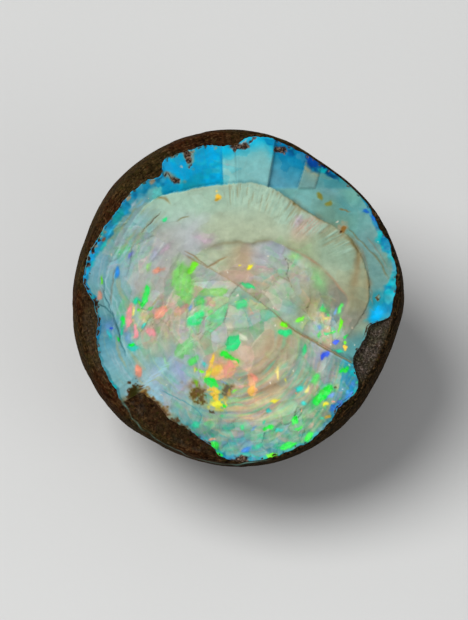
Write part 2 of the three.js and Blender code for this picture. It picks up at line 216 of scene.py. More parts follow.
WALL_TINTS = [
    (10.6, 17.6, 2.2, "pale_teal"), (12.6, 14.0, 1.8, "verdigris"), (13.8, 16.4, 1.8, "grey_green"),
    (15.6, 17.6, 1.6, "verdigris"), (17.2, 14.6, 2.0, "lagoon"), (17.6, 11.8, 1.8, "pale_teal"),
    (15.9, 11.2, 1.4, "verdigris"), (11.0, 14.6, 1.6, "milk"), (19.8, 12.4, 2.0, "pale_teal"),
    (19.6, 8.0, 2.0, "grey_green"), (20.2, 3.6, 2.4, "grey_green"), (21.4, -1.4, 1.8, "turquoise"),
    (-13.4, 14.4, 2.6, "ice_blue"), (-16.8, 10.0, 2.0, "aqua"), (-20.2, 5.0, 2.0, "steel"),
    (-20.4, -1.0, 2.0, "pale_teal"), (19.0, -3.4, 1.5, "fold_grey"), (18.2, -5.6, 1.3, "mint"),
    (21.8, 5.2, 1.4, "verdigris"), (17.4, 15.6, 1.4, "mint"), (14.0, 16.9, 1.5, "pale_blue"),
]

# The blue margin along the opal's edge: its colour, and its width by angle.
MARGINS = [
    ("cyan", 120, 184, [(120, 1.6), (135, 2.1), (150, 2.0), (160, 1.5), (170, 1.1), (184, 0.5)]),
    ("sea", 180, 224, [(180, 0.5), (194, 0.6), (206, 0.4), (224, 0.4)]),
    ("azure", 252, 282, [(252, 0.5), (262, 1.1), (276, 0.8), (284, 0.4)]),
    ("sea", 282, 326, [(282, 0.7), (300, 0.6), (318, 1.3), (326, 1.0)]),
    ("cyan_flash", -9, 15, [(-9, 1.8), (-3, 2.5), (2, 2.2), (6, 1.4), (10, 0.7), (15, 0.5)]),
    ("azure", 14, 39, [(14, 1.2), (23, 1.4), (27, 0.7), (33, 0.5), (39, 0.2)]),
    ("ocean", 50, 77, [(50, 0.5), (56, 1.8), (68, 2.0), (77, 1.1)]),
]

# Bright patches of the play of colour, and four painted highlights: place, length, width, turn, colour and
# the kind of its edge, which is 0 for sharp, 1 for clear, 2 for soft, 3 for hazy and 4 for granular.
FLASHES = {
    "cyan foot": (20.6, -2.5, 3.0, 1.7, 62, "cyan", 2),
    # The pale facet is painted light: its colour is made brighter to offset the shade of the wall, which
    # faces away from the key light.
    "pale facet": (-12.2, 15.5, 2.1, 1.6, 38, "ice_facet_painted_light", 0),
    "pale sliver": (-14.4, 14.2, 2.4, 0.5, 42, "pale_blue", 2),
    "top band": (5.4, 23.3, 3.4, 0.8, -12, "azure", 1),
    "margin teal": (-18.0, 12.0, 3.0, 1.1, 56, "teal_cyan", 2),
    "margin teal low": (-20.0, 8.0, 1.8, 0.8, 62, "teal_cyan", 2),
    "margin frost": (-15.6, 13.8, 2.0, 0.6, 46, "frost", 2),
    # These four dots are painted highlights: small glints in chalk and frost white.
    "painted highlight by amber": (14.7, 11.4, 0.4, 0.35, 0, "chalk", 0),
    "painted highlight in the wall": (-8.6, 19.5, 0.4, 0.3, 0, "chalk", 0),
    "painted highlight on a block": (-1.6, 20.0, 0.6, 0.4, 20, "frost", 1),
    "painted highlight right": (21.0, 8.5, 0.3, 0.3, 0, "chalk", 0),
    "low left shade": (-5.0, -19.8, 2.4, 1.5, -30, "vein", 3),
    "low blue": (0.2, -21.3, 3.6, 1.3, 0, "sea", 3),
    "mint left": (-15.0, 6.8, 2.4, 0.6, 66, "mint", 2),
    "lilac left": (-12.6, 6.4, 2.4, 1.0, 55, "lilac", 3),
    "blush left": (-10.9, 7.3, 2.0, 0.7, 35, "pink_cloud", 3),
    "mint fleck top left": (-10.8, 11.8, 0.9, 0.4, 30, "mint_green", 2),
    "top fleck pale": (0.9, 23.3, 1.4, 0.4, 40, "frost", 1),
    "top fleck pale low": (-0.6, 22.2, 1.0, 0.3, -20, "frost", 1),
    "band pink": (9.1, 11.7, 1.4, 0.8, 50, "pink_cloud", 3),
    "left bar": (-14.0, 0.2, 3.7, 0.8, 70, "green", 0),
    "lime sheet": (-8.2, 2.2, 5.1, 3.3, 80, "lime_sheet", 1),
    "lime sheet tip": (-6.9, 4.5, 2.1, 1.0, 70, "lime", 1),
    "middle sheet": (-3.7, 0.9, 4.3, 1.3, 5, "soft_lime", 0),
    "middle sheet low": (-5.8, -0.6, 1.3, 1.3, 0, "leaf", 1),
    "salmon fan": (-11.9, 4.2, 1.6, 1.0, 0, "salmon", 2),
    "salmon fan edge": (-13.3, 4.6, 1.2, 0.5, 80, "soft_lime", 2),
    "blue dot left": (-18.0, 3.9, 1.5, 0.7, 80, "azure_flash", 2),
    "violet dot left": (-16.1, 6.6, 1.2, 0.6, 80, "violet", 2),
    "pink cloud": (-4.6, 8.5, 2.7, 1.8, 0, "pink_cloud", 3),
    "left edge lime": (-20.4, 2.7, 1.3, 0.4, 80, "lime", 1),
    "left edge salmon": (-20.6, 0.4, 1.5, 0.7, 80, "salmon", 1),
    "yellow speck": (1.9, 4.7, 1.0, 0.7, 10, "yellow", 0),
    "yellow speck small": (0.4, 4.9, 0.4, 0.4, 0, "yellow", 0),
    "green dash": (1.4, 1.9, 2.5, 0.7, -25, "mint_green", 1),
    "soft green lobe": (12.2, 2.5, 3.2, 1.9, -60, "soft_green", 3),
    "chalk chip": (0.7, -5.8, 1.7, 0.9, -35, "chalk", 1),
    "chalk chip left": (-6.6, -1.9, 1.2, 0.6, 30, "chalk", 1),
    "soft lime": (8.3, 6.1, 1.6, 1.2, 0, "soft_lime", 3),
    "pink streak": (-16.3, -3.0, 4.0, 1.0, 88, "pink", 1),
    "pink streak low": (-15.3, -5.0, 1.6, 0.7, 100, "pink", 1),
    "pink streak yellow": (-15.6, -1.9, 1.3, 0.4, 85, "cream_yellow", 1),
    "teal left": (-17.2, -4.8, 1.3, 0.6, 75, "sea_green", 1),
    "blue patch": (-16.2, -5.8, 1.9, 1.2, 80, "sky_flash", 3),
    "blue patch left": (-19.3, -4.2, 2.1, 1.5, 70, "sky_flash", 3),
    "blue dot low left": (-18.8, -4.6, 0.6, 0.4, 0, "blue", 1),
    "teal patch": (-15.6, -7.3, 1.6, 1.3, 30, "aqua_flash", 2),
    "green dot left": (-15.8, -7.0, 0.9, 0.6, 10, "green", 1),
    "salmon feathers": (-11.6, -2.1, 2.5, 1.3, 50, "salmon", 1),
    "pink petal": (-13.0, -5.0, 1.6, 1.0, -38, "pink", 1),
    "peach run": (-8.5, -1.7, 3.0, 1.2, 42, "blush", 1),
    "tan chip": (-4.1, -0.6, 1.6, 1.0, -20, "blush", 1),
    "sky chip": (-7.1, -1.3, 1.4, 0.6, 70, "sky_flash", 2),
    "teal sheet": (-6.2, -3.0, 2.2, 1.6, 20, "mint_green", 1),
    "green dot middle": (-4.0, -2.2, 1.0, 0.9, 0, "leaf", 1),
    "lime wedge": (-8.0, -7.6, 4.0, 1.9, 60, "soft_green", 0),
    "green spot": (-6.7, -9.4, 1.5, 1.2, 0, "leaf", 2),
    "mint sliver": (-10.7, -9.4, 2.2, 0.5, -70, "mint", 1),
    "mint block": (-0.75, -6.8, 2.2, 1.9, 10, "mint_green", 0),
    "bright dash": (-1.2, -8.9, 3.1, 1.3, -32, "pure_green", 0),
    "lime dash": (-5.5, -11.0, 0.9, 0.5, 0, "lime", 0),
    "orange stem": (-4.1, -10.1, 3.4, 0.9, 68, "gold", 0),
    "orange patch": (-2.2, -11.1, 4.0, 2.6, 14, "orange", 0),
    "coral patch": (-1.7, -10.8, 2.6, 1.8, 42, "coral", 1),
    "orange glow": (-3.2, -10.7, 2.2, 1.2, 60, "gold", 2),
    "orange patch yellow": (-4.5, -11.5, 1.5, 0.7, 50, "yellow", 1),
    "green in orange": (-4.2, -12.7, 1.9, 1.3, -50, "green", 0),
    "yellow scatter": (-3.1, -14.6, 3.4, 1.6, -40, "gold", 4),
    "yellow scatter low": (-3.1, -15.9, 2.6, 1.8, 0, "yellow", 4),
    "green in yellow": (-2.1, -16.3, 1.0, 0.9, 0, "green", 0),
    "teal low left": (-6.3, -18.8, 1.3, 1.0, 0, "sea_green", 2),
    "teal low": (-2.3, -17.8, 1.0, 0.7, 0, "mint_green", 2),
    "green low edge": (-3.5, -22.1, 1.3, 1.2, -20, "green", 1),
    "green low edge thin": (-2.9, -23.3, 1.3, 0.4, -10, "green", 1),
    "salmon low edge": (-3.9, -21.2, 1.2, 0.4, 0, "salmon", 2),
    "peach by wedge": (-15.0, -10.9, 1.9, 0.9, 85, "salmon", 1),
    "mint centre": (0.7, -0.9, 1.6, 1.2, 0, "mint_green", 2),
    "lime at crack": (7.1, -3.9, 1.3, 0.9, -25, "lime", 0),
    "mint under crack": (7.1, -5.1, 1.8, 1.3, 20, "mint_green", 1),
    "lime over crack": (9.4, -3.2, 1.0, 0.7, 10, "lime", 0),
    "leaf right": (12.7, -1.8, 1.3, 0.7, 0, "leaf", 1),
    "leaf right two": (15.3, -1.8, 1.3, 0.7, 80, "leaf", 1),
    "lime column": (15.2, -3.9, 2.1, 0.5, 85, "lime", 1),
    "leaf dots": (14.1, -5.1, 0.7, 0.4, 0, "leaf", 1),
    "leaf dots two": (13.4, -5.3, 0.7, 0.6, 0, "mint_green", 1),
    "green right": (16.0, -5.8, 0.9, 0.7, 70, "green", 0),
    "blue square": (14.6, -6.6, 0.7, 0.7, 45, "blue", 0),
    "orange right": (16.0, -7.4, 0.7, 0.6, 60, "gold", 0),
    "teal bar right": (15.0, -7.9, 1.8, 0.5, -10, "sea_green", 1),
    "mint streak lobe": (9.9, -7.6, 1.9, 0.7, 75, "mint_green", 2),
    "blue lobe": (13.0, -8.6, 1.2, 0.7, 60, "blue", 1),
    "green lobe corner": (15.9, -10.7, 1.5, 1.0, 10, "green", 0),
    "cyan lobe corner": (17.4, -11.0, 1.6, 1.2, 60, "cyan_flash", 1),
    "green corner low": (17.7, -12.5, 0.9, 0.7, 30, "mint_green", 1),
    "blue band": (16.7, -13.6, 3.3, 1.0, 52, "azure_flash", 1),
    "blue band low": (14.8, -15.9, 2.4, 1.0, 48, "deep_blue", 1),
    "big green": (12.7, -14.5, 3.7, 1.6, 35, "green", 0),
    "light blue by green": (13.8, -14.6, 1.5, 1.0, 60, "sky_flash", 1),
    "yellow by green": (13.2, -15.9, 1.0, 0.6, 15, "yellow", 1),
    "soft green low": (11.6, -12.1, 1.5, 1.0, 60, "leaf", 2),
    "orange petal": (2.1, -13.2, 3.1, 1.1, -80, "orange", 0),
    "salmon petal top": (2.2, -11.8, 1.5, 0.9, -80, "salmon", 1),
    "apricot petal low": (2.0, -14.0, 1.9, 1.1, -84, "apricot", 1),
    "yellow sliver": (6.0, -11.1, 2.2, 0.5, 85, "cream_yellow", 1),
    "yellow fleck": (7.3, -12.4, 0.7, 0.3, 80, "yellow", 0),
    "yellow by ripple": (5.7, -15.3, 1.3, 0.6, 25, "yellow", 1),
    "green low right": (8.5, -18.2, 1.3, 0.9, 70, "green", 0),
    "green low right two": (9.2, -19.5, 1.3, 0.7, 10, "green", 0),
    "green under ripple": (4.4, -19.5, 1.8, 0.7, 10, "green", 0),
    "green flecks": (0.7, -19.2, 0.9, 0.6, 80, "mint_green", 1),
    "green by edge": (10.6, -20.8, 1.9, 1.0, 48, "green", 0),
    "green edge band": (7.6, -22.1, 2.8, 1.0, 22, "green", 0),
    "cyan fleck": (5.9, -19.7, 0.8, 0.7, 0, "aqua_flash", 1),
    "teal low middle": (3.0, -22.3, 1.6, 1.2, 0, "sea_green", 1),
    "lime by edge": (5.1, -23.4, 1.6, 0.7, 8, "lime", 0),
    "blue low middle": (1.1, -22.7, 1.8, 0.7, 5, "azure_flash", 1),
    "navy rim": (11.0, 20.5, 1.8, 1.3, -40, "royal", 1),
    "navy rim low": (12.9, 19.6, 1.3, 0.8, -40, "navy", 1),
    "blue rim dot": (19.3, 12.9, 1.4, 0.9, -45, "deep_blue", 1),
    "blue rim dot low": (20.4, 11.9, 1.1, 0.8, -45, "deep_blue", 1),
}
EDGE_SOFTNESS = (0.1, 0.22, 0.45, 0.8, 0.4)
EDGE_STRENGTH = (1, 1, 1, 0.75, 1)
SOFT = 2
GRANULAR = 4
SPOT_ROUNDNESS = 2.3

# Small flashes lie at random round these places, each with a reach, and tiny chalk-white glints, which are
# painted highlights, lie where the stone breaks up. None of them lies further out than the spark reach.
SPARK_ZONES = [
    (14.0, -4.2, 2.2), (12.5, -15.0, 3.6), (3.0, -21.0, 5.0), (-15.5, -3.0, 2.4), (-3.0, -13.0, 2.6),
]
SPARK_COUNT = 60
SPARK_COLOURS = (
    "lime", "mint_green", "cream_yellow", "salmon", "aqua_flash", "leaf", "sea_green", "peach",
    "sky_flash", "green",
)
GLINT_COUNT = 40
GLINT_LENGTH = 0.3
SPARK_REACH = 22.8

# Thin shards lie at random where the stone breaks up, with slightly ragged edges.
SHARD_COUNT = 300
SHARD_COLOURS = (
    "pink", "mint_green", "lilac", "soft_green", "peach", "ice", "salmon", "frost", "chalk", "aqua",
    "periwinkle", "straw", "cream_yellow", "rose", "leaf", "orange",
)
SHARD_REACH = 22.5
SHARD_RAG = 0.12

# Small brown, gold and olive inclusions: place, length, width, turn and colour.
INCLUSIONS = {
    "gold cube": (-3.0, 15.0, 1.1, 1.0, 20, "gold"),
    "gold cube foot": (-3.2, 14.6, 0.8, 0.5, 20, "bronze"),
    "olive spot": (12.2, 15.3, 1.4, 0.7, -55, "olive"),
    "olive spot middle": (13.6, 14.1, 1.2, 0.9, 30, "olive"),
    "olive streak": (15.9, 13.1, 1.8, 0.35, -8, "olive_brown"),
    "margin speck": (-12.8, 17.3, 1.1, 0.6, 40, "clay"),
    "margin speck low": (-16.3, 14.8, 1.0, 0.5, 50, "clay"),
    "ledge nick": (8.4, 14.1, 0.8, 0.5, -30, "olive_brown"),
    "amber halo": (15.8, 10.4, 2.0, 1.5, 90, "clay"),
    "amber spot": (15.8, 10.3, 1.3, 0.8, 80, "amber"),
    "amber foot": (15.5, 9.9, 0.6, 0.3, 20, "umber"),
    "dendrite halo": (-6.0, -14.0, 4.2, 3.0, -45, "tan"),
    "dendrite small halo": (-1.5, -13.7, 2.6, 1.8, 80, "tan"),
    "dendrite": (-5.8, -14.3, 3.0, 2.0, -50, "loam"),
    "dendrite small": (-1.6, -13.5, 1.8, 1.1, 80, "loam"),
    "dendrite small grain": (-1.4, -14.1, 1.1, 0.7, 70, "bronze"),
    "dark dash": (-4.0, -17.0, 1.3, 0.4, -20, "umber"),
    "bronze halo": (13.2, -17.1, 2.2, 1.3, 60, "fold_grey"),
    "bronze spot": (13.4, -17.7, 1.1, 0.7, 10, "bronze"),
    "dark dot": (14.5, -13.3, 0.5, 0.3, 0, "umber"),
    "rust left": (-20.0, 8.8, 0.8, 0.5, 60, "rust"),
    "dot in the blue halo": (20.9, 0.0, 1.0, 0.8, 60, "clay"),
    "dot in the blue": (20.9, 0.0, 0.7, 0.6, 60, "umber"),
    "knob halo": (-9.7, 17.9, 3.6, 1.2, -28, "clay"),
    "notch halo": (-7.5, 20.9, 3.6, 1.7, 100, "clay"),
    "gold cube top": (-3.1, 15.9, 0.5, 0.5, 20, "cream_yellow"),
    "lens tip halo": (-14.1, -14.0, 3.0, 1.1, -52, "tan"),
    "lens tip": (-15.6, -14.4, 4.0, 1.9, 68, "umber"),
    "lens tip side": (-15.0, -14.4, 3.4, 2.0, -54, "umber"),
    "lens tip core": (-15.6, -14.4, 3.0, 1.5, 68, "moss_brown"),
    "lens tip side core": (-15.1, -14.6, 2.8, 1.6, -54, "moss_brown"),
}

# The inclusions of these colours are granular at their edge.
DARK_GRAINS = ("umber", "loam")

# Ironstone that shows through the opal near its edge: place, length, width and turn.
ROCK_SPOTS = {
    "notch": (-7.6, 21.2, 2.7, 1.0, 100),
    "notch foot": (-7.2, 19.6, 0.7, 0.4, 60),
    "knob foot": (-10.4, 18.2, 1.6, 0.35, -45),
    "knob foot end": (-9.3, 17.6, 1.9, 0.9, -8),
    "top specks": (0.3, 22.6, 3.4, 1.3, 5),
    "top fleck": (2.3, 23.4, 1.6, 0.4, 48),
    "top specks right": (6.2, 22.2, 2.4, 0.9, -20),
    "bottom lens": (0.4, -24.1, 3.0, 1.3, 5),
    "left nick": (-13.6, 17.7, 1.2, 0.6, 45),
}

# Cracks, stained lines and one line of painted shade: their points, width, depth and colour.
LINES = {
    "branch": ([(-4.8, 4.5), (-3.2, 5.4), (-1.6, 6.2)], 0.2, 0.08, "stain"),
    "crack start": ([(-8.0, 6.9), (-6.4, 6.1), (-4.6, 4.8)], 0.12, 0.08, "stain"),
    "left crack": (
        [(-21.1, -1.0), (-19.5, -1.6), (-18.3, -3.4), (-17.7, -5.8), (-16.7, -8.5)], 0.14, 0.25, "deep_teal",
    ),
    "left crack top": ([(-20.0, 2.4), (-19.9, 0.6), (-19.3, -1.0), (-18.6, -2.6)], 0.11, 0.15, "deep_teal"),
    "left fold": ([(-18.4, 4.4), (-18.6, 3.0), (-18.9, 1.0), (-19.0, -1.0)], 0.16, 0.12, "fold_grey"),
    "thin crack": ([(-11.6, 12.8), (-13.0, 11.3), (-14.5, 9.7)], 0.1, 0.1, "umber"),
    "brown mark": ([(-12.3, 14.8), (-11.6, 15.0), (-10.9, 14.8)], 0.26, 0.05, "tan"),
    "brown mark end": ([(-11.0, 15.0), (-10.6, 14.6), (-10.2, 14.2)], 0.26, 0.05, "tan"),
    "streak": ([(-9.1, 11.5), (-8.2, 12.0), (-7.2, 12.2)], 0.12, 0.03, "olive_brown"),
    "right fold": ([(16.5, 10.4), (19.1, 7.7), (21.0, 5.6), (22.4, 3.0)], 0.14, 0.2, "olive_brown"),
    "right fold inner": ([(18.5, 7.6), (19.3, 4.6), (19.8, 1.8), (20.0, -1.0)], 0.1, 0.12, "fold_grey"),
    "right fold outer": ([(19.3, 9.0), (20.8, 7.2), (22.2, 4.6)], 0.12, 0.12, "fold_grey"),
    "wedge edge": (
        [(-7.6, -5.2), (-6.6, -6.8), (-6.2, -9.0), (-5.6, -11.6), (-4.8, -13.0)], 0.12, 0.08, "ice",
    ),
    "swirl edge": ([(-13.4, -7.0), (-12.6, -9.4), (-9.8, -13.0), (-6.0, -15.6)], 0.12, 0.08, "ice"),
    "low fold": (
        [(-11.2, -13.9), (-8.6, -15.2), (-6.2, -16.6), (-5.4, -17.6), (-5.8, -18.8)], 0.1, 0.1, "sea",
    ),
    "right brown fold": ([(16.1, 9.2), (17.5, 7.6), (18.0, 6.2), (18.0, 4.6)], 0.3, 0.1, "olive_brown"),
    "right brown fold low": ([(17.9, 7.0), (17.7, 4.4), (17.3, 2.0), (17.1, 0.4)], 0.8, 0.06, "fold_brown"),
    # The lobe's front is painted shade: a dark line where the lobe stands over the lower stone.
    "lobe front": ([(19.2, -8.0), (18.6, -10.4), (17.4, -9.6), (16.4, -8.8)], 0.2, 0.15, "shade"),
}

# The pale vein in the ironstone's rim.
VEIN = [
    (-17.5, -14.6), (-17.2, -15.6), (-16.5, -16.7), (-15.3, -18.6), (-12.5, -20.7), (-10.6, -22.1),
    (-8.8, -22.9), (-6.1, -24.1), (-3.4, -24.7), (-0.6, -24.9), (1.6, -24.6), (5.1, -24.0),
]
VEIN_WIDTH = 0.13

# Tints along the arc: a colour, a width, a strength and the angles between which it lies.
# The cream tint is painted light: it lightens the shade that falls on the arc's step. The other two are
# stains.
ARC_LINES = (("cream", 0.8, 0.6, 55, 125), ("stain", 0.25, 0.25, 60, 120), ("rust_pink", 0.2, 0.8, -2, 48))

# Colours that streak along the ripples, and the angle round their middle where the streaks' pattern starts.
RING_STREAKS = ("rose", "mint", "lilac", "cream", "salmon", "sea_green", "cream_yellow")
STREAK_SEAM = 60
CONTRAST = 1.07

# Where the stone breaks up into small tilted facets, each a place, its reach and how strongly.
FACET_ZONES = [
    (-6.0, -2.0, 7.0, 1.0), (-13.0, -3.0, 5.0, 0.9), (2.0, -1.5, 5.0, 0.8), (-2.0, -12.0, 5.0, 0.9),
    (12.0, -4.0, 4.0, 0.8), (14.0, -13.0, 4.5, 0.8), (3.0, -21.0, 6.0, 0.9), (9.0, -19.0, 4.0, 0.9),
    (7.0, 3.0, 4.5, 0.7), (-15.6, 7.0, 5.0, 0.7), (-10.0, -14.0, 5.0, 0.35), (8.0, -10.0, 4.0, 0.4),
    (-5.0, -20.5, 4.0, 0.9), (13.0, -5.0, 2.6, 1.0),
]
QUIET = 0.12
LARGE_FACETS = 330
SMALL_FACETS = 1500
FACET_REACH = 24.6
FACET_BEND = 0.22

# A facet hardly reaches over a crack or a ledge, where this is added to its distance.
OTHER_SIDE = 2.5

# Colours of the facets on the core, near the lower edge and where the play is weak.
CORE_ACCENTS = (
    "salmon", "soft_green", "mint", "lilac", "peach", "ice", "pink", "straw", "rose", "periwinkle",
    "mint_green", "frost", "chalk", "lime_sheet",
)
EDGE_ACCENTS = (
    "sea", "aqua_flash", "sea_green", "sky_flash", "lilac", "cyan_flash", "turquoise", "leaf", "jade",
)
PALE_ACCENTS = ("straw", "ice", "cream", "sage", "pearl")

# Colours in the materials: the opal's chips, and the ironstone's grains with their scale and strength.
CHIP_COLOURS = ("mint", "rose", "aqua", "cream", "lilac", "leaf")
GRAIN_COLOURS = (
    (1300.0, 0.4, "red_earth"), (1500.0, 0.4, "moss_brown"), (2700.0, 0.35, "umber"),
    (2200.0, 0.3, "hairline"),
)
BLACK = (0, 0, 0)
WHITE = (255, 255, 255)

# The kind and the field of a value that a mesh holds for each point, by how many numbers it takes.
POINT_VALUES = {1: ("FLOAT", "value"), 3: ("FLOAT_VECTOR", "vector"), 4: ("FLOAT_COLOR", "color")}

# The floor, the camera and the lights, in metres. Only the view's shift and width are millimetres.
FLOOR_SIZE = 3.0
CAMERA_ELEVATION = 62
CAMERA_DISTANCE = 1.0
VIEW_SHIFT = (-0.6, -1.8)
VIEW_WIDTH = 70.2
SENSOR_WIDTH = 36
KEY_PLACE = (-0.58, 0.62, 0.85)
KEY_SIZE = 0.8
KEY_POWER = 13.6
FILL_PLACE = (0.9, -0.35, 0.8)
FILL_SIZE = 0.9
FILL_POWER = 3.4
SKY_COLOUR = (0.5, 0.51, 0.53, 1)
SKY_STRENGTH = 0.6

rng = np.random.default_rng(12)
LATTICE_SIZE = 64
LATTICE = rng.uniform(-1, 1, (LATTICE_SIZE, LATTICE_SIZE, LATTICE_SIZE))


def smooth(value, low, high):
    """0 below a low value and 1 above a high one, with a soft rise between them."""
    share = np.clip((value - low) / (high - low), 0, 1)
    return share * share * (3 - 2 * share)


def between(value, low, high, soft):
    return smooth(value, low - soft, low + soft) * (1 - smooth(value, high - soft, high + soft))


def sector(angle, low, high, soft):
    """1 between two angles round the face, counted from 0 to 360, with soft ends."""
    return between(np.mod(angle, 360), low, high, soft)


def bell(gap, width):
    """1 where a distance is 0, fading out over a width on both sides."""
    return np.exp(-((gap / width) ** 2))


def mix(a, b, share):
    return a + (b - a) * share


def paint(name):
    return np.array(PALETTE[name], float) / 255


def blend(colours, other, share):
    """Colours of points moved towards another colour, or other colours, by a share for each point."""
    return mix(colours, other, np.asarray(share)[..., None])


def coated(colours, *coats):
    """Colours of points with coats laid on in order, each a colour's name and a share for each point."""
    for name, share in coats:
        colours = blend(colours, paint(name), share)
    return colours


def around(points):
    """A smooth closed curve through a few points, each an angle round the face and a value there."""
    first, second, last = points[0], points[1], points[-1]
    padded = [(last[0] - 360, last[1]), *points, (first[0] + 360, first[1]), (second[0] + 360, second[1])]
    angles, values = np.array(padded, float).T
    slopes = np.zeros(len(padded))
    slopes[1:-1] = (values[2:] - values[:-2]) / (angles[2:] - angles[:-2])

    def curve(angle):
        wrapped = np.mod(np.asarray(angle, float) - first[0], 360) + first[0]
        index = np.clip(np.searchsorted(angles, wrapped, side="right") - 1, 1, len(padded) - 3)
        span = angles[index + 1] - angles[index]
        t = (wrapped - angles[index]) / span
        leave = t * (1 - t) * (1 - t) * span * slopes[index]
        arrive = t * t * (t - 1) * span * slopes[index + 1]
        return mix(values[index], values[index + 1], smooth(t, 0, 1)) + leave + arrive

    return curve


outline_radius = around(OUTLINE)
opal_edge = around(OPAL_EDGE)
rim_height = around(RIM_HEIGHT)
ledge_radius = around(LEDGE)
ledge_strength = around(LEDGE_STRENGTH)
arc_radius = around(ARC)
arc_strength = around(ARC_STRENGTH)


def noise(x, y, z, size):
    """Smooth noise from -1 to 1, with lumps of the given size. It takes arrays or numbers."""
    total = 0
    scaled = [np.asarray(spot, float) / size for spot in np.broadcast_arrays(x, y, z)]
    cells = [np.floor(spot).astype(int) for spot in scaled]
    shares = [smooth(spot - cell, 0, 1) for spot, cell in zip(scaled, cells)]
    for corner in range(8):
        steps = [(corner >> axis) & 1 for axis in range(3)]
        weight = 1
        for step, share in zip(steps, shares):
            weight = weight * (share if step else 1 - share)
        corner_cells = tuple((cell + step) % LATTICE_SIZE for cell, step in zip(cells, steps))
        total = total + weight * LATTICE[corner_cells]
    return total


def layered(x, y, z, size, layers=3):
    """Noise with finer noise on it, each layer half the size and half the height of the one before."""
    return sum(noise(x, y, z + 17 * layer, size / 2**layer) / 2**layer for layer in range(layers))


def texture(at, level, size):
    """Noise at points of the face. Each level is another pattern."""
    return noise(at.x, at.y, level, size)


def edge_noise(angle, size, level):
    """Noise along a closed line round the face."""
    turn = np.radians(angle)
    return noise(WIDEST_RADIUS * np.cos(turn), WIDEST_RADIUS * np.sin(turn), level, size)


def rim_radius(angle):
    return outline_radius(angle) * np.sqrt(1 - (rim_height(angle) / BACK_DEPTH) ** 2)


def core_edge(angle):
    """Radius of the opal's ragged edge on the face."""
    ragged = opal_edge(angle)
    for level, (size, height) in enumerate(EDGE_JAGS):
        ragged = ragged + height * edge_noise(angle, size, 3 * level)
    return np.minimum(ragged, rim_radius(angle) - THINNEST_VISIBLE_RIM)


def curve_through(bends, pieces):
    """Points of a smooth curve through a few places, with a number of pieces for each span."""
    bends = np.array(bends, float)
    ends = np.vstack([2 * bends[0] - bends[1], bends, 2 * bends[-1] - bends[-2]])
    points = []
    for index in range(1, len(ends) - 2):
        before, start, end, after = ends[index - 1:index + 3]
        for t in np.arange(pieces) / pieces:
            bend = 2 * before - 5 * start + 4 * end - after
            twist = 3 * start - before - 3 * end + after
            points.append(start + 0.5 * t * (end - before + t * (bend + t * twist)))
    return np.array([*points, bends[-1]])


CRACK = curve_through(CRACK_BENDS, 6)
CRACK_START = CRACK[0][0]
CRACK_END = CRACK[-1][0]

# The upper and the lower part of the face still meet on a line beyond the crack's left end.
DIVIDE = np.vstack([(-30, 20.7), CRACK])


def places(x, y):
    """Where points of the face lie against its edge, its ledges and its crack."""
    angle = np.degrees(np.arctan2(y, x))
    radius = np.hypot(x, y)
    at = SimpleNamespace(x=x, y=y, angle=angle, radius=radius, edge=core_edge(angle))
    at.inside = at.edge - radius
    wobble = 0.12 * edge_noise(angle, 1.5, 20) + 0.07 * edge_noise(angle, 0.5, 24)
    at.ledge = ledge_radius(angle) + wobble
    at.past_ledge = radius - at.ledge
    at.arc = arc_radius(angle) + 0.3 * edge_noise(angle, 3.0, 26)
    at.up = (radius - at.ledge) / (at.edge - at.ledge)
    at.below = (np.interp(x, *DIVIDE.T) - y) * math.cos(math.radians(CRACK_SLOPE))
    at.ring = np.hypot(x - RIPPLE_CENTRE[0], y - RIPPLE_CENTRE[1])
    at.ring_angle = np.degrees(np.arctan2(y - RIPPLE_CENTRE[1], x - RIPPLE_CENTRE[0]))
    return at


def dish(at):
    """The face without its cracks: a shallow dish, with a wall behind the ledge."""
    rise = rim_height(at.angle) - FLOOR_HEIGHT
    bowl = FLOOR_HEIGHT + rise * (at.radius / at.edge) ** 3
    disc = FLOOR_HEIGHT + DISC_SHARE * rise * (at.radius / at.ledge) ** 3
    foot = FLOOR_HEIGHT + DISC_SHARE * rise - LEDGE_DROP
    wall = mix(foot, FLOOR_HEIGHT + rise, np.clip(at.up, 0, 1) ** 0.8)
    walled = mix(disc, wall, smooth(at.past_ledge, -STEP_WIDTH, STEP_WIDTH))
    return mix(bowl, walled, ledge_strength(at.angle))


def band(at):
    step = smooth(at.radius - at.arc, -ARC_STEP_WIDTH, ARC_STEP_WIDTH)
    return ARC_RISE * arc_strength(at.angle) * step * (1 - smooth(at.radius, at.arc, at.ledge))


def block_gaps(at):
    """Distance of points to each line between two blocks of the wall, positive on the block's side."""
    up = np.clip(at.up, 0, 1)
    for foot, rim, *_ in WALL_BLOCKS:
        yield np.radians(mix(foot, rim, up) - at.angle) * at.radius


def on_blocks(at):
    """1 on the wall's blocks, 0 on the hazy strip between them and the ledge."""
    return 1 - smooth(at.x, STRIP_FROM - 0.3, STRIP_FROM + 0.3) * smooth(STRIP_LEVEL - at.y, -0.25, 0.25)


def blocks(at):
    """Heights of the wall's blocks, with a groove between each two of them."""
    height = np.zeros(at.x.shape)
    groove = np.zeros(at.x.shape)
    previous = 0
    for gap, block in zip(block_gaps(at), WALL_BLOCKS):
        height = height + (block[2] - previous) * smooth(gap, -0.08, 0.08)
        groove = np.maximum(groove, bell(gap, 0.14))
        previous = block[2]
    on_wall = smooth(at.past_ledge, -STEP_WIDTH, STEP_WIDTH) * between(at.angle, 42, 126, 3)
    return on_wall * on_blocks(at) * (height - BLOCK_GROOVE * groove * (at.angle < 100))


def crack_share(at):
    """How clearly the long crack shows, by where it is."""
    return np.interp(at.x, *np.array(CRACK_SHARES).T)


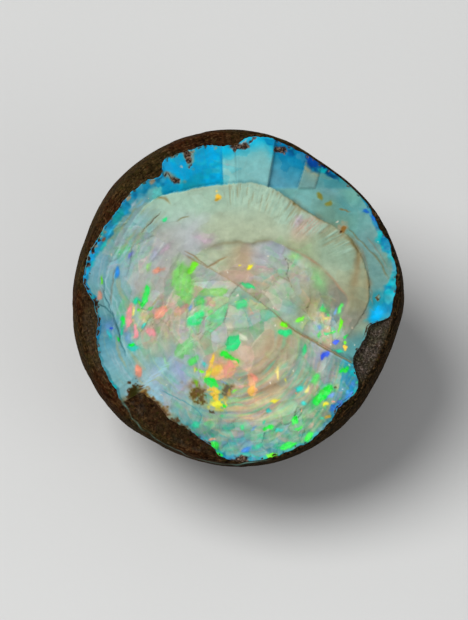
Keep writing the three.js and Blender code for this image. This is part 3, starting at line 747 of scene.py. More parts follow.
def lobe(at):
    """The step below the crack, the crack's groove and the broad ripples."""
    along = smooth(at.x, CRACK_START, CRACK_END)
    below = smooth(at.below, -STEP_WIDTH, STEP_WIDTH)
    step = CRACK_STEP * along * np.exp(-np.maximum(at.below, 0) / LOBE_REACH)
    on_crack = smooth(at.x, CRACK_START - 1, CRACK_START + 2) * (1 - smooth(at.x, CRACK_END, CRACK_END + 1))
    groove = CRACK_GROOVE * on_crack * crack_share(at) * bell(at.below, 0.2)
    reach = between(at.ring, 5.5, 17, 2) * between(at.ring_angle, -100, 10, 20)
    wave = np.cos(2 * np.pi * at.ring / RIPPLE_SPACING)
    return below * (step + RIPPLE_HEIGHT * reach * wave * smooth(at.below, 0, 2)) - groove


def scallops(at):
    """Sharp curved ripples of the glassy break, closer together than the broad ones."""
    at.warped = at.ring + 0.9 * texture(at, 31, 5.0) + 0.4 * texture(at, 33, 1.6)
    phase = np.mod(at.warped / SCALLOP_SPACING, 1)
    at.scallop = np.where(phase < 0.8, phase / 0.8, (1 - phase) / 0.2)
    strength = between(at.ring, 5, 19, 2.5) * smooth(at.below, 0, 1.5) * (0.5 + 0.5 * texture(at, 35, 4))
    at.scallop_strength = np.clip(strength, 0, 1) * (1 - 0.75 * sector(at.ring_angle, 110, 235, 20))
    return SCALLOP_HEIGHT * (at.scallop - 0.5) * at.scallop_strength


def hackles(at):
    """Feathery marks on the pale band, running out to the ledge."""
    along = WIDEST_RADIUS * np.radians(at.angle)
    marks = noise(along * 2.4, at.radius * 0.45 + along * 0.4, 41, 1.0)
    fine = noise(along * 5.5, at.radius * 0.8 + along, 43, 1.0)
    reach = smooth(at.past_ledge, -5.5, -1.5) * (1 - smooth(at.past_ledge, -0.3, 0))
    at.hackle = (marks + 0.6 * fine) * reach * between(at.angle, 22, 96, 8)
    return HACKLE_HEIGHT * at.hackle


def facet_seeds(count, stretch):
    """Random places over the face, each with a turn and a tilt for its facet."""
    radius = FACET_REACH * np.sqrt(rng.uniform(0, 1, count))
    turn = rng.uniform(0, 2 * np.pi, count)
    seeds = places(radius * np.cos(turn), radius * np.sin(turn))
    seeds.turn = np.radians(seeds.ring_angle) + np.pi / 2 + rng.normal(0, 0.4, count)
    seeds.stretch = mix(1.0, stretch, smooth(seeds.ring, 3, 9)) * rng.uniform(0.85, 1.15, count)
    seeds.tilt = rng.normal(0, 1, (2, count))
    seeds.pick = rng.uniform(0, 1, (3, count))
    return seeds


def region(at):
    """0 above the crack, 1 below it, 2 on the wall and 3 in the heart inside the arc."""
    inside_arc = (at.radius < at.arc) & (arc_strength(at.angle) > 0.3)
    disc = np.where(at.below > 0, 1, np.where(inside_arc, 3, 0))
    return np.where((at.radius > at.ledge) & (ledge_strength(at.angle) > 0.6), 2, disc)


def turned(x, y, turn):
    """How far places lie along a direction and across it. The direction is given in radians."""
    cos, sin = math.cos(turn), math.sin(turn)
    return x * cos + y * sin, y * cos - x * sin


def near_points(at, x, y, reach):
    """The numbers of the points that lie near a place."""
    return np.nonzero(np.hypot(at.x - x, at.y - y) < reach)[0]


def facets_of(at, seeds):
    """For each point its facet, its place along the facet's tilt and its distance from the border."""
    regions = region(at)
    seed_regions = region(seeds)
    first = np.full(at.x.shape, np.inf)
    second = first.copy()
    owner = np.zeros(at.x.shape, int)
    bent_x = at.x + FACET_BEND * texture(at, 131, 1.3)
    bent_y = at.y + FACET_BEND * texture(at, 133, 1.3)
    for index, (x, y, turn, stretch) in enumerate(zip(seeds.x, seeds.y, seeds.turn, seeds.stretch)):
        along, across = turned(bent_x - x, bent_y - y, turn)
        gap = np.hypot(along / stretch, across * stretch) + OTHER_SIDE * (regions != seed_regions[index])
        second = np.minimum(second, np.maximum(gap, first))
        owner[gap < first] = index
        first = np.minimum(first, gap)
    slope = (at.x - seeds.x[owner]) * seeds.tilt[0][owner] + (at.y - seeds.y[owner]) * seeds.tilt[1][owner]
    return SimpleNamespace(owner=owner, slope=slope, border=second - first)


def facet_strength(at):
    total = np.full(at.x.shape, QUIET)
    for x, y, reach, strength in FACET_ZONES:
        total = np.maximum(total, strength * np.exp(-((at.x - x) ** 2 + (at.y - y) ** 2) / reach**2))
    return total


large_seeds = facet_seeds(LARGE_FACETS, 1.7)
small_seeds = facet_seeds(SMALL_FACETS, 1.5)


def pick(choices):
    return choices[rng.integers(len(choices))]


def ring_turn(x, y):
    """Angle of a place round the middle of the ripples, in radians."""
    return math.atan2(y - RIPPLE_CENTRE[1], x - RIPPLE_CENTRE[0])


def random_sparks():
    """Small flashes at random round a few places, and tiny painted highlights, in the form of the named
    flashes.
    """
    found = []
    while len(found) < SPARK_COUNT + GLINT_COUNT:
        is_spark = len(found) < SPARK_COUNT
        zone = pick(SPARK_ZONES if is_spark else FACET_ZONES)
        x, y = rng.normal(zone[:2], 0.7 * zone[2])
        length = rng.uniform(0.35, 1.3)
        name = pick(SPARK_COLOURS)
        # A glint is a painted highlight: a tiny chalk-white spot.
        if not is_spark:
            length, name = GLINT_LENGTH, "chalk"
        if math.hypot(x, y) < SPARK_REACH:
            width = rng.uniform(0.35, 0.8) * length
            turn = math.degrees(ring_turn(x, y)) + 90 + rng.normal(0, 30)
            found.append((x, y, length, width, turn, name, SOFT))
    return found


def random_shards():
    """Shards at random where small facets are: place, length, width, turn, bend, colour and strength."""
    found = []
    while len(found) < SHARD_COUNT:
        zone = pick(FACET_ZONES)
        x, y = rng.normal(zone[:2], 0.6 * zone[2])
        length = rng.uniform(1.0, 4.2)
        turn = ring_turn(x, y) + math.pi / 2 + rng.normal(0, 0.7)
        name = pick(SHARD_COLOURS)
        width = rng.uniform(0.3, 0.7) * length
        bend = rng.uniform(-0.5, 0.5)
        here = SimpleNamespace(x=np.array(x), y=np.array(y))
        strength = rng.uniform(0.5, 1.0) * float(facet_strength(here))
        if math.hypot(x, y) < SHARD_REACH and strength > QUIET:
            found.append((x, y, length, width, turn, bend, name, strength))
    return found


SPARKS = random_sparks()
SHARDS = random_shards()


def shard_shares(at):
    """For each shard the points near it, and how strongly it shows there: most at its one sharp edge."""
    for x, y, length, width, turn, bend, name, strength in SHARDS:
        near = near_points(at, x, y, 0.8 * length)
        dx = at.x[near] - x + SHARD_RAG * at.ragged[0][near]
        dy = at.y[near] - y + SHARD_RAG * at.ragged[1][near]
        along, across = turned(dx, dy, turn)
        along = along / (length / 2)
        across = across / (width / 2) + bend * along**2
        share = smooth(across, -1.0, -0.85) * np.clip((1 - across) / 2, 0, 1)
        share = share * (1 - smooth(np.abs(along), 0.7, 1.0))
        side = (at.below[near] > 0) == (np.interp(x, *DIVIDE.T) > y)
        yield near, share * side * strength, name


def line_gap(at, points):
    """Distance of points to a line through a few places."""
    gap = np.full(at.x.shape, np.inf)
    for start, end in zip(points[:-1], points[1:]):
        run = end - start
        share = ((at.x - start[0]) * run[0] + (at.y - start[1]) * run[1]) / (run @ run)
        share = np.clip(share, 0, 1)
        gap = np.minimum(gap, np.hypot(at.x - start[0] - share * run[0], at.y - start[1] - share * run[1]))
    return gap


def shaken(at, amount, levels, size):
    """Points moved a little to and fro, so that what is drawn over them wavers."""
    dx, dy = (amount * texture(at, level, size) for level in levels)
    return SimpleNamespace(x=at.x + dx, y=at.y + dy)


def line_mark(at, points, width):
    """1 on a line and 0 away from it, with a slightly uneven width."""
    wobbly = shaken(at, 0.15, (51, 53), 0.8)
    uneven = width * (0.75 + 0.5 * np.abs(texture(at, 55, 1.2)))
    ends = [np.hypot(at.x - end[0], at.y - end[1]) for end in (points[0], points[-1])]
    fading = 0.4 + 0.6 * smooth(np.minimum(*ends), 0, 3 * width + 0.3)
    return fading * bell(line_gap(wobbly, points), uneven)


def spot_reach(at, spot, ragged, skew=0, roundness=SPOT_ROUNDNESS):
    """Distance of points from a spot's middle, 1 at its ragged edge. A skewed spot is slanted."""
    x, y, length, width, turn = spot[:5]
    dx = at.x - x + ragged * at.ragged[0]
    dy = at.y - y + ragged * at.ragged[1]
    along, across = turned(dx, dy, math.radians(turn))
    across = across / (width / 2)
    along = along / (length / 2) + skew * across
    return (np.abs(along) ** roundness + np.abs(across) ** roundness) ** (1 / roundness)


def relief(at):
    """All the fine relief of the opal's broken surface."""
    at.play = facet_strength(at)
    at.large = facets_of(at, large_seeds)
    at.small = facets_of(at, small_seeds)
    at.ragged = (texture(at, 61, 0.5), texture(at, 63, 0.5))
    at.bent = [rag + 1.6 * texture(at, level, 1.2) for rag, level in zip(at.ragged, (65, 67))]
    height = at.play * (LARGE_TILT * at.large.slope + SMALL_TILT * at.small.slope)
    for near, share, _ in shard_shares(at):
        height[near] += SHARD_HEIGHT * share
    height = height - SEAM_DEPTH * at.play * np.exp(-at.large.border / 0.12)
    height = height + 0.05 * layered(at.x, at.y, 5, 2.4) + 0.008 * layered(at.x, at.y, 9, 0.5, 2)
    for points, width, depth, _ in LINES.values():
        height = height - depth * line_mark(at, curve_through(points, 4), width)
    return height + scallops(at) + hackles(at)


def face_height(at):
    return dish(at) + band(at) + blocks(at) + lobe(at) + relief(at)


def tinted(at, tints):
    """Tints blended over points, each by how near it is."""
    moved = shaken(at, 0.9, (71, 73), 2.4)
    total = np.full(at.x.shape, 1e-9)
    colours = np.zeros((*at.x.shape, 3))
    for x, y, reach, name in tints:
        weight = np.exp(-((moved.x - x) ** 2 + (moved.y - y) ** 2) / reach**2) + 1e-7
        total = total + weight
        colours = colours + weight[..., None] * paint(name)
    return colours / total[..., None]


def wall_colours(at):
    """The blue blocks under the upper rim, and the wall's own tints round them."""
    bare = tinted(at, WALL_TINTS)
    colours = bare
    up = np.clip(at.up, 0, 1)
    patchy = np.clip(up + 0.12 * texture(at, 81, 1.8), 0, 1)
    for gap, (*_, foot, rim, soon) in zip(block_gaps(at), WALL_BLOCKS):
        own = blend(np.broadcast_to(paint(foot), colours.shape), paint(rim), smooth(patchy**soon, 0.1, 0.95))
        colours = blend(colours, own, smooth(gap, -0.06, 0.06))
    colours = blend(bare, colours, on_blocks(at))
    for level, name in ((83, "aqua_flash"), (84, "azure")):
        patches = smooth(texture(at, level, 1.9) + 0.6 * texture(at, level, 0.5), 0.0, 0.8)
        colours = coated(colours, (name, 0.4 * patches * between(at.angle, 97, 126, 2)))
    colours = blend(colours, bare, smooth(mix(*WALL_END, up) - at.angle, -7, 7))
    past_top = smooth(at.angle, 124, 130) + smooth(-at.angle, 60, 70)
    return blend(colours, bare, np.clip(past_top, 0, 1))


def smooth_colours(at):
    """The opal's tints without facets: the band, the heart inside the arc, the lower part and the wall."""
    heart_share = (1 - smooth(at.radius - at.arc, -0.15, 0.15)) * smooth(arc_strength(at.angle), 0.1, 0.5)
    softness = mix(2.5, 0.12, smooth(at.x, -10, -3))
    lower_share = smooth(at.below + 2.0 * (1 - smooth(at.x, -12, -5)), -softness, softness)
    colours = blend(tinted(at, BAND_TINTS), tinted(at, HEART_TINTS), heart_share)
    colours = blend(colours, tinted(at, LOWER_TINTS), lower_share)
    on_wall = smooth(at.past_ledge, -0.12, 0.12) * smooth(ledge_strength(at.angle), 0.3, 0.8)
    return blend(colours, wall_colours(at), on_wall)


def accents(seeds, names):
    """One of a few colours for each facet."""
    chosen = np.minimum((seeds.pick[0] * len(names)).astype(int), len(names) - 1)
    return np.array([paint(name) for name in names])[chosen]


def seed_colours(seeds):
    """One flat colour for each facet: its place's tint, moved towards a colour of the play, with painted
    shading.
    """
    strength = facet_strength(seeds)
    near_edge = smooth(seeds.radius / seeds.edge, 0.78, 0.9) * (seeds.y < -8)
    colours = blend(accents(seeds, CORE_ACCENTS), accents(seeds, EDGE_ACCENTS), near_edge)
    colours = blend(colours, accents(seeds, PALE_ACCENTS), 1 - smooth(strength, 0.2, 0.45))
    share = (0.25 + 0.7 * seeds.pick[1]) * np.clip(0.15 + strength, 0, 1)
    # Painted shading: each facet is made lighter or darker at random, as if tilted to the light.
    lightness = 1 + 0.42 * (seeds.pick[2] - 0.5) * np.clip(0.3 + strength, 0, 1)
    return blend(smooth_colours(seeds), colours, share) * lightness[:, None]


def margins(at, colours):
    """The blue margin along the opal's edge, speckled with clay on the left."""
    uneven = 1 + 0.5 * texture(at, 91, 1.6) + 0.3 * texture(at, 89, 0.6)
    mottles = [
        (other, amount * smooth(layered(at.x, at.y, level, 1.6), 0.1, 0.5))
        for level, other, amount in ((94, "teal_cyan", 0.8), (96, "azure", 0.8), (98, "frost", 0.35))
    ]
    for name, start, end, widths in MARGINS:
        angle = np.mod(at.angle - start + 60, 360) + start - 60
        width = np.interp(angle, *np.array(widths, float).T) * uneven
        share = (1 - smooth(at.inside, 0.65 * width, 1.1 * width)) * between(angle, start, end, 3)
        patchy = coated(paint(name) * (0.9 + 0.2 * texture(at, 93, 0.7)[:, None]), *mottles)
        colours = blend(colours, patchy, share * (0.88 + 0.2 * texture(at, 97, 0.9)))
    for level, depth, name in ((99, 0.8, "clay"), (103, 1.4, "umber")):
        specks = smooth(layered(at.x, at.y, level, 0.7) - depth * at.inside, 0.1, 0.5)
        colours = coated(colours, (name, 0.7 * specks * between(at.angle, 96, 178, 5)))
    return colours


def patchiness(at, level, size, base, height):
    """Shares from 0 to 1 that make a line or a stain uneven."""
    return np.clip(base + height * texture(at, level, size), 0, 1)


def stains(at, colours):
    """Brown lines in the cracks and along the ledges, and a rusty fringe by the ironstone. Painted shade
    darkens the gaps between the wall's blocks, the wall's foot and the lobe's front.
    """
    ledge_share = mix(0.2, 0.7, between(at.angle, 2, 62, 6)) * between(at.angle, -8, 118, 5)
    for name, width, amount, size in (("stain", 0.55, 0.75, 1.1), ("olive_brown", 0.16, 0.8, 2.5)):
        share = amount * bell(at.past_ledge, width) * ledge_share * patchiness(at, 87, size, 0.6, 0.7)
        colours = coated(colours, (name, share))
    # The cream tint along the arc is painted light over the step's shade; the stain and rust_pink are stains.
    for name, width, amount, low, high in ARC_LINES:
        share = amount * bell(at.radius - at.arc, width) * between(at.angle, low, high, 8)
        colours = coated(colours, (name, share * patchiness(at, 88, 1.4, 0.7, 0.7)))
    # The lines are stains, except the lobe's front, which is painted shade.
    for points, width, _, name in LINES.values():
        colours = coated(colours, (name, 0.75 * line_mark(at, curve_through(points, 4), 0.8 * width)))
    crack = 0.8 * line_mark(at, CRACK, 0.14) * crack_share(at) * (at.inside > 0.3)
    colours = coated(colours, ("stain", crack))
    grainy = 0.6 * texture(at, 98, 0.3) + 0.4 * texture(at, 96, 0.8)
    for name, reach, high in (("tan", 1.2, 240), ("umber", 0.6, 250)):
        fringe = smooth(reach * (0.8 + texture(at, 95, 1.6)) + grainy - at.inside, -0.3, 0.5)
        colours = coated(colours, (name, 0.85 * fringe * sector(at.angle, 222, high, 3)))
    foot = smooth(at.past_ledge, -0.05, 0.1) * (1 - smooth(at.past_ledge, 0.1, 0.7))
    uneven = (at.past_ledge > 0) * on_blocks(at) * patchiness(at, 85, 1.3, 0.5, 0.9)
    # Painted shade: dark lines in the gaps between the wall's blocks.
    for gap in list(block_gaps(at))[1:5]:
        colours = coated(colours, ("shade", 0.35 * bell(gap, 0.11) * uneven))
    # Painted shade: a steel-blue darkening along the wall's foot, where it meets the disc.
    return coated(colours, ("steel", 0.3 * foot * between(at.angle, 40, 126, 4)))


def play_of_colour(at, colours):
    """Bright patches, each with its own colour, and painted highlights. Their borders follow the small facets
    part of the way.
    """
    colours = colours.copy()
    for spot in [*SPARKS, *FLASHES.values()]:
        x, y, length, width, turn, name, softness = spot
        near = near_points(at, x, y, 1.2 * length + 1)
        here = SimpleNamespace(x=at.x[near], y=at.y[near], ragged=[shift[near] for shift in at.bent])
        owner = at.small.owner[near]
        facet = SimpleNamespace(x=small_seeds.x[owner], y=small_seeds.y[owner], ragged=(0, 0))
        shape = (0.7 * noise(x, y, 104, 0.8), SPOT_ROUNDNESS + 1.6 * noise(x, y, 106, 0.7))
        own_reach = spot_reach(here, spot, 0.16, *shape)
        reach = mix(own_reach, spot_reach(facet, spot, 0, *shape), 0.34 * min(width, 1.6) / 1.6)
        along, across = turned(here.x, here.y, math.radians(turn))
        streaks = np.clip(1.05 + 0.4 * noise(along / 1.8, across / 0.35, 101, 1.0), 0, 1)
        soft = EDGE_SOFTNESS[softness]
        glow = 0.3 * np.exp(-np.maximum(reach - 1, 0) / 0.3)
        share = np.maximum(1 - smooth(reach, 1 - soft, 1 + soft), glow) * streaks * EDGE_STRENGTH[softness]
        if softness == GRANULAR:
            share = share * smooth(texture(here, 105, 0.4), -0.35, 0.1)
        lightness = 0.88 + 0.14 * small_seeds.pick[2][owner] + 0.14 * np.clip(1 - reach, 0, 1)
        colours[near] = blend(colours[near], paint(name) * lightness[:, None], share)
    return colours


def inclusions(at, colours):
    """Small grains of other minerals. A halo fades out, and the dark ones are granular at their edge."""
    grainy = 0.6 * texture(at, 107, 0.6)
    fine = 0.6 * texture(at, 109, 0.25)
    for label, spot in INCLUSIONS.items():
        reach = spot_reach(at, spot, 0.15)
        share = 0.9 - 0.9 * smooth(reach, 0.5, 1.2)
        if "halo" in label:
            share = 0.75 - 0.75 * smooth(reach + grainy, 0.3, 1.2)
        if spot[5] in DARK_GRAINS:
            share = 0.9 - 0.9 * smooth(reach + grainy + fine, 0.5, 1.1)
        colours = coated(colours, (spot[5], share))
    return colours


def ring_streaks(at, colours):
    """Streaks of colour that follow the ripples, with thin brown lines of painted shade at the ripples'
    fronts.
    """
    along = at.ring * np.radians(np.mod(at.ring_angle - STREAK_SEAM, 360))
    below = smooth(at.below, -0.4, 1.2)
    broad = between(at.ring, 4, 19, 2.0) * below * mix(0.3, 1.0, between(at.ring_angle, -130, 10, 20))
    fine = between(at.ring, 5.5, 13.5, 1.5) * below * between(at.ring_angle, -125, -30, 15)
    fine = fine * smooth(texture(at, 209, 2.6), -0.4, 0.5)
    for level, name in enumerate(RING_STREAKS):
        wide = smooth(noise(at.warped / 1.0, along / 3.0, 211 + 4 * level, 1.0), 0.15, 0.8)
        thin = smooth(noise(at.warped / 0.4, along / 2.2, 241 + 4 * level, 1.0), 0.25, 0.7)
        colours = coated(colours, (name, 0.22 * broad * wide), (name, 0.4 * fine * thin))
    # Painted shade: thin brown lines at the ripples' fronts.
    return coated(colours, ("stain", 0.35 * smooth(at.scallop, 0.82, 1.0) * at.scallop_strength))


def edge_layers(at, colours):
    """Thin layers along the opal's edge on the left, pale blue and straw."""
    along = at.radius * np.radians(np.mod(at.angle, 360))
    layers = noise(at.inside / 0.5, along / 5.0, 201, 1.0)
    layers = layers + 0.5 * noise(at.inside / 0.22, along / 3.0, 203, 1.0)
    share = 0.6 * smooth(at.inside, 0.7, 1.7) * (1 - smooth(at.inside, 5, 8))
    share = share * sector(at.angle, 134, 232, 8)
    return coated(
        colours,
        ("frost", share * smooth(layers, 0.1, 0.8)),
        ("straw", share * smooth(-layers, 0.1, 0.8)),
    )


def rock_share(at):
    """Where ironstone shows through the opal."""
    share = np.zeros(at.x.shape)
    for spot in ROCK_SPOTS.values():
        share = np.maximum(share, 1 - smooth(spot_reach(at, spot, 0.35), 0.75, 1.05))
    left = sector(at.angle, 158, 196, 8)
    specks = smooth(texture(at, 121, 0.45) + 0.7 * left - at.inside / (0.5 + 0.1 * left), 0.0, 0.25)
    return np.maximum(share, specks * (at.inside > 0.02))


def opal_colours(at):
    """All the opal's colours, from its smooth tints to its stains."""
    share = np.clip(0.15 + 0.85 * at.play, 0, 1)
    colours = blend(smooth_colours(at), seed_colours(large_seeds)[at.large.owner], 0.92 * share)
    colours = blend(colours, seed_colours(small_seeds)[at.small.owner], 0.28 * share)
    for near, reach, name in shard_shares(at):
        colours[near] = coated(colours[near], (name, 0.8 * reach))
    # Painted highlight in chalk on one side of each large facet's seam, and painted shade in stain on the
    # other.
    side = texture(at, 137, 1.4)
    seam_light_and_shade = at.play * bell(at.large.border, 0.14)
    colours = coated(
        colours,
        ("chalk", 0.5 * seam_light_and_shade * smooth(side, 0.1, 0.5)),
        ("stain", 0.4 * seam_light_and_shade * smooth(-side, 0.1, 0.5)),
    )
    colours = margins(at, ring_streaks(at, edge_layers(at, colours)))
    colours = coated(
        colours,
        ("ice", 0.75 * smooth(at.hackle, 0.1, 0.8)),
        ("moss", 0.6 * smooth(-at.hackle, 0.1, 0.8)),
    )
    colours = inclusions(at, stains(at, play_of_colour(at, colours)))
    return mix(paint("sage"), colours, CONTRAST)


def ring_points(angle, radius, height):
    """Points round the face at some angles, with a radius and a height for each."""
    turn = np.radians(angle)
    return np.stack([radius * np.cos(turn), radius * np.sin(turn), height], axis=1)


def even_angles(count):
    return 360 * np.arange(count) / count


def edge_height(angle):
    """Height of the face at the opal's edge."""
    turn = np.radians(angle)
    edge = core_edge(angle)
    return face_height(places(edge * np.cos(turn), edge * np.sin(turn)))


def bowl_ring(count, down, shrink, drop):
    """A ring of the bowl under the face, down from 0 at the edge to 1 at the bottom."""
    angle = even_angles(count)
    width = math.cos(math.radians(90 * down))
    depth = math.sin(math.radians(90 * down))
    height = (edge_height(angle) - drop) * (1 - depth) - (CORE_DEPTH - drop) * depth
    return ring_points(angle, (core_edge(angle) - shrink) * width, height)


def zip_rings(start, inner, following, outer):
    """Triangles between two rings, given where their points start and how many there are."""
    faces = []
    i = j = 0
    inner_steps = inner if inner > 1 else 0
    outer_steps = outer if outer > 1 else 0
    while i < inner_steps or j < outer_steps:
        inner_at = (i + 0.5) / inner_steps if inner_steps else 2
        outer_at = (j + 0.5) / outer_steps if outer_steps else 2
        a = start + i % inner
        b = following + j % outer
        if i < inner_steps and (j >= outer_steps or inner_at < outer_at):
            faces.append((a, b, start + (i + 1) % inner))
            i += 1
        else:
            faces.append((a, b, following + (j + 1) % outer))
            j += 1
    return faces


def skin(rings):
    """Triangles that join rings in order into one closed surface."""
    faces = []
    start = 0
    for ring, following in zip(rings[:-1], rings[1:]):
        faces += zip_rings(start, len(ring), start + len(ring), len(following))
        start += len(ring)
    return faces


def at_rest(points):
    """Points of the face's frame, leaned back onto the stone's worn foot."""
    lean = math.radians(FACE_LEAN)
    lowest = math.hypot(WIDEST_RADIUS * math.sin(lean), BACK_DEPTH * math.cos(lean))
    x, y, z = np.asarray(points, float).T
    turned_y = y * math.cos(lean) - z * math.sin(lean) + CENTRE_SHIFT
    turned_z = y * math.sin(lean) + z * math.cos(lean) + lowest - FOOT_DEPTH
    return np.stack([x, turned_y, np.maximum(turned_z, 0)], axis=1) * MM


def linear(colours):
    """Screen colours as amounts of light."""
    clipped = np.clip(colours, 0, 1)
    return np.where(clipped <= 0.04045, clipped / 12.92, ((clipped + 0.055) / 1.055) ** 2.4)


def placed(name, data):
    """A new object in the scene."""
    made = bpy.data.objects.new(name, data)
    bpy.context.scene.collection.objects.link(made)
    return made


def piece(name, rings, colours, **values):
    """A closed mesh from rings, with a tint and other named values for each point."""
    mesh = bpy.data.meshes.new(name)
    mesh.from_pydata(at_rest(np.vstack(rings)).tolist(), [], skin(rings))
    mesh.shade_smooth()
    tint = np.column_stack([linear(colours), np.ones(len(colours))])
    for label, numbers in {"tint": tint, **values}.items():
        kind, field = POINT_VALUES[numbers.shape[1] if numbers.ndim > 1 else 1]
        stored = mesh.attributes.new(label, kind, "POINT")
        stored.data.foreach_set(field, numbers.astype(np.float32).ravel())
    return placed(name, mesh)


def opal_piece():
    """The opal core: its finely broken face, and a plain bowl where the ironstone hides it."""
    rings = [np.zeros((1, 3))]
    for step in range(1, FACE_RINGS + 1):
        angle = even_angles(POINTS_PER_RING * step)
        rings.append(ring_points(angle, core_edge(angle) * (step / FACE_RINGS), np.zeros(len(angle))))
    flat = np.vstack(rings)
    at = places(flat[:, 0], flat[:, 1])
    flat[:, 2] = face_height(at)
    rock = rock_share(at)
    flat[:, 2] += rock * (0.1 * layered(at.x, at.y, 131, 0.7) - 0.12)
    face = np.split(flat, np.cumsum([len(ring) for ring in rings])[:-1])
    steps = len(UNDER_COUNTS)
    under = [bowl_ring(count, step / steps, 0, 0) for step, count in enumerate(UNDER_COUNTS, start=1)]
    hidden = sum(UNDER_COUNTS)
    colours = np.vstack([opal_colours(at), np.broadcast_to(paint("aqua"), (hidden, 3))])
    values = {"rock": np.append(rock, np.zeros(hidden)), "play": np.append(at.play, np.zeros(hidden))}
    return piece("opal_face", [*face, *under], colours, **values)


def matrix_share(angle):
    """1 along the granular patch on the right."""
    return sector(angle, MATRIX_FROM, MATRIX_TO, 4)


def lumps(x, y, z):
    """The same broad lumps that the solid's back has."""
    wide = np.sin(0.31 * x + 0.2 * y + 0.8) * np.sin(0.27 * y - 0.24 * z + 0.3)
    small = np.sin(0.62 * x + 0.5) * np.sin(0.58 * y + 1.1) * np.sin(0.55 * z + 0.4)
    return 0.6 * wide + 0.8 * small


def vein_share(at):
    """1 on the thin pale vein, which thins out in places."""
    gap = line_gap(shaken(at, 0.2, (155, 157), 1.1), curve_through(VEIN, 4))
    return bell(gap, VEIN_WIDTH * (0.8 + 0.5 * texture(at, 159, 1.6)))


def rim_rings():
    """The ironstone's broken rim without its grain, from under the opal's edge to the outside."""
    angle = even_angles(RIM_POINTS)
    edge = core_edge(angle)
    edge_level = edge_height(angle)
    outer = rim_radius(angle)
    rings = []
    for step in range(RIM_RINGS):
        radius = mix(edge - TUCK, outer, step / RIM_RINGS)
        past = radius - edge
        drop = MATRIX_DEPTH * matrix_share(angle) * smooth(past, 0, 0.6)
        level = mix(edge_level - drop, rim_height(angle), np.clip(past / (outer - edge), 0, 1))
        rings.append(ring_points(angle, radius, level - TUCK_DROP * (1 - smooth(past, -0.15, 0.12))))
    return rings


def outside_ring(count, down):
    """A ring of the outside, down from 0 at the rim to 1 at the middle of the back."""
    angle = even_angles(count)
    latitude = mix(np.arcsin(rim_height(angle) / BACK_DEPTH), -np.pi / 2, down**0.9)
    x, y, z = ring_points(angle, WIDEST_RADIUS * np.cos(latitude), BACK_DEPTH * np.sin(latitude)).T
    scale = 1 + BACK_LUMPS * lumps(x, y, z) * smooth(down, 0.05, 0.35) / WIDEST_RADIUS
    return ring_points(angle, outline_radius(angle) * np.cos(latitude) * scale, z * scale)


def skin_wear(x, y, z):
    """How far the ironstone's skin lies under its smooth shape: worn hollows, thin beds and pits."""
    worn = 0.12 * smooth(layered(x, y, z, 3.2), -0.2, 0.9) + 0.05 * smooth(noise(x, y, z, 0.7), 0.1, 0.8)
    beds = 0.04 * smooth(noise(x * 0.25, y * 0.25, z * 2.6, 1.0), 0.0, 0.5)
    pits = 0.2 * smooth(noise(x, y, z, 1.1), 0.75, 0.95)
    return SKIN_WEAR + worn + beds + pits


def rounded(rings):
    """Rings of the rim and the outside with the corner between them worn round."""
    grid = np.array(rings)
    start = RIM_RINGS // 3
    for _ in range(ROUNDING_PASSES):
        between_rings = (grid[:-2] + 2 * grid[1:-1] + grid[2:]) / 4
        grid[start + 1:-1] = between_rings[start:]
    return grid


def rough_rings(grid):
    """The rim's grain and the skin's wear, laid on the smooth rings along their normals."""
    x, y, z = np.moveaxis(grid, 2, 0)
    along = np.roll(grid, -1, axis=1) - np.roll(grid, 1, axis=1)
    normal = np.cross(np.gradient(grid, axis=0), along)
    normal = normal / np.maximum(np.linalg.norm(normal, axis=2, keepdims=True), 1e-9)
    angle = np.degrees(np.arctan2(y, x))
    past = np.hypot(x, y) - core_edge(angle)
    width = rim_radius(angle) - core_edge(angle)
    step = np.arange(len(grid))[:, None]
    on_rim = 1 - smooth(step, RIM_RINGS - 6, RIM_RINGS + 6)
    bare = np.maximum(smooth(past, 0.2, 0.6), smooth(step, RIM_RINGS, RIM_RINGS + 6))
    broken = smooth(width, 0.6, 2.4) * smooth(past, 0, 0.3)
    grains = 1 + 1.2 * matrix_share(angle)
    rough = 0.12 * layered(x, y, 141, 1.5) + 0.07 * layered(x, y, 145, 0.45, 2) * grains
    height = mix(-skin_wear(x, y, z) * bare, broken * (rough - 0.14), on_rim)
    height = height + 0.06 * vein_share(SimpleNamespace(x=x, y=y))
    return list(grid + normal * height[..., None])


def outside_rings():
    """Fewer and fewer points towards the middle of the back."""
    rings = []
    for step in range(BACK_RINGS):
        share = step / BACK_RINGS
        count = max(int(RIM_POINTS * math.cos(math.radians(90 * share)) ** 0.75), 12)
        ring = outside_ring(count, mix(BAND_SHARE, 1, share))
        rings.append(ring * (1 - skin_wear(*ring.T)[:, None] / WIDEST_RADIUS))
    return [*rings, outside_ring(1, 1)]


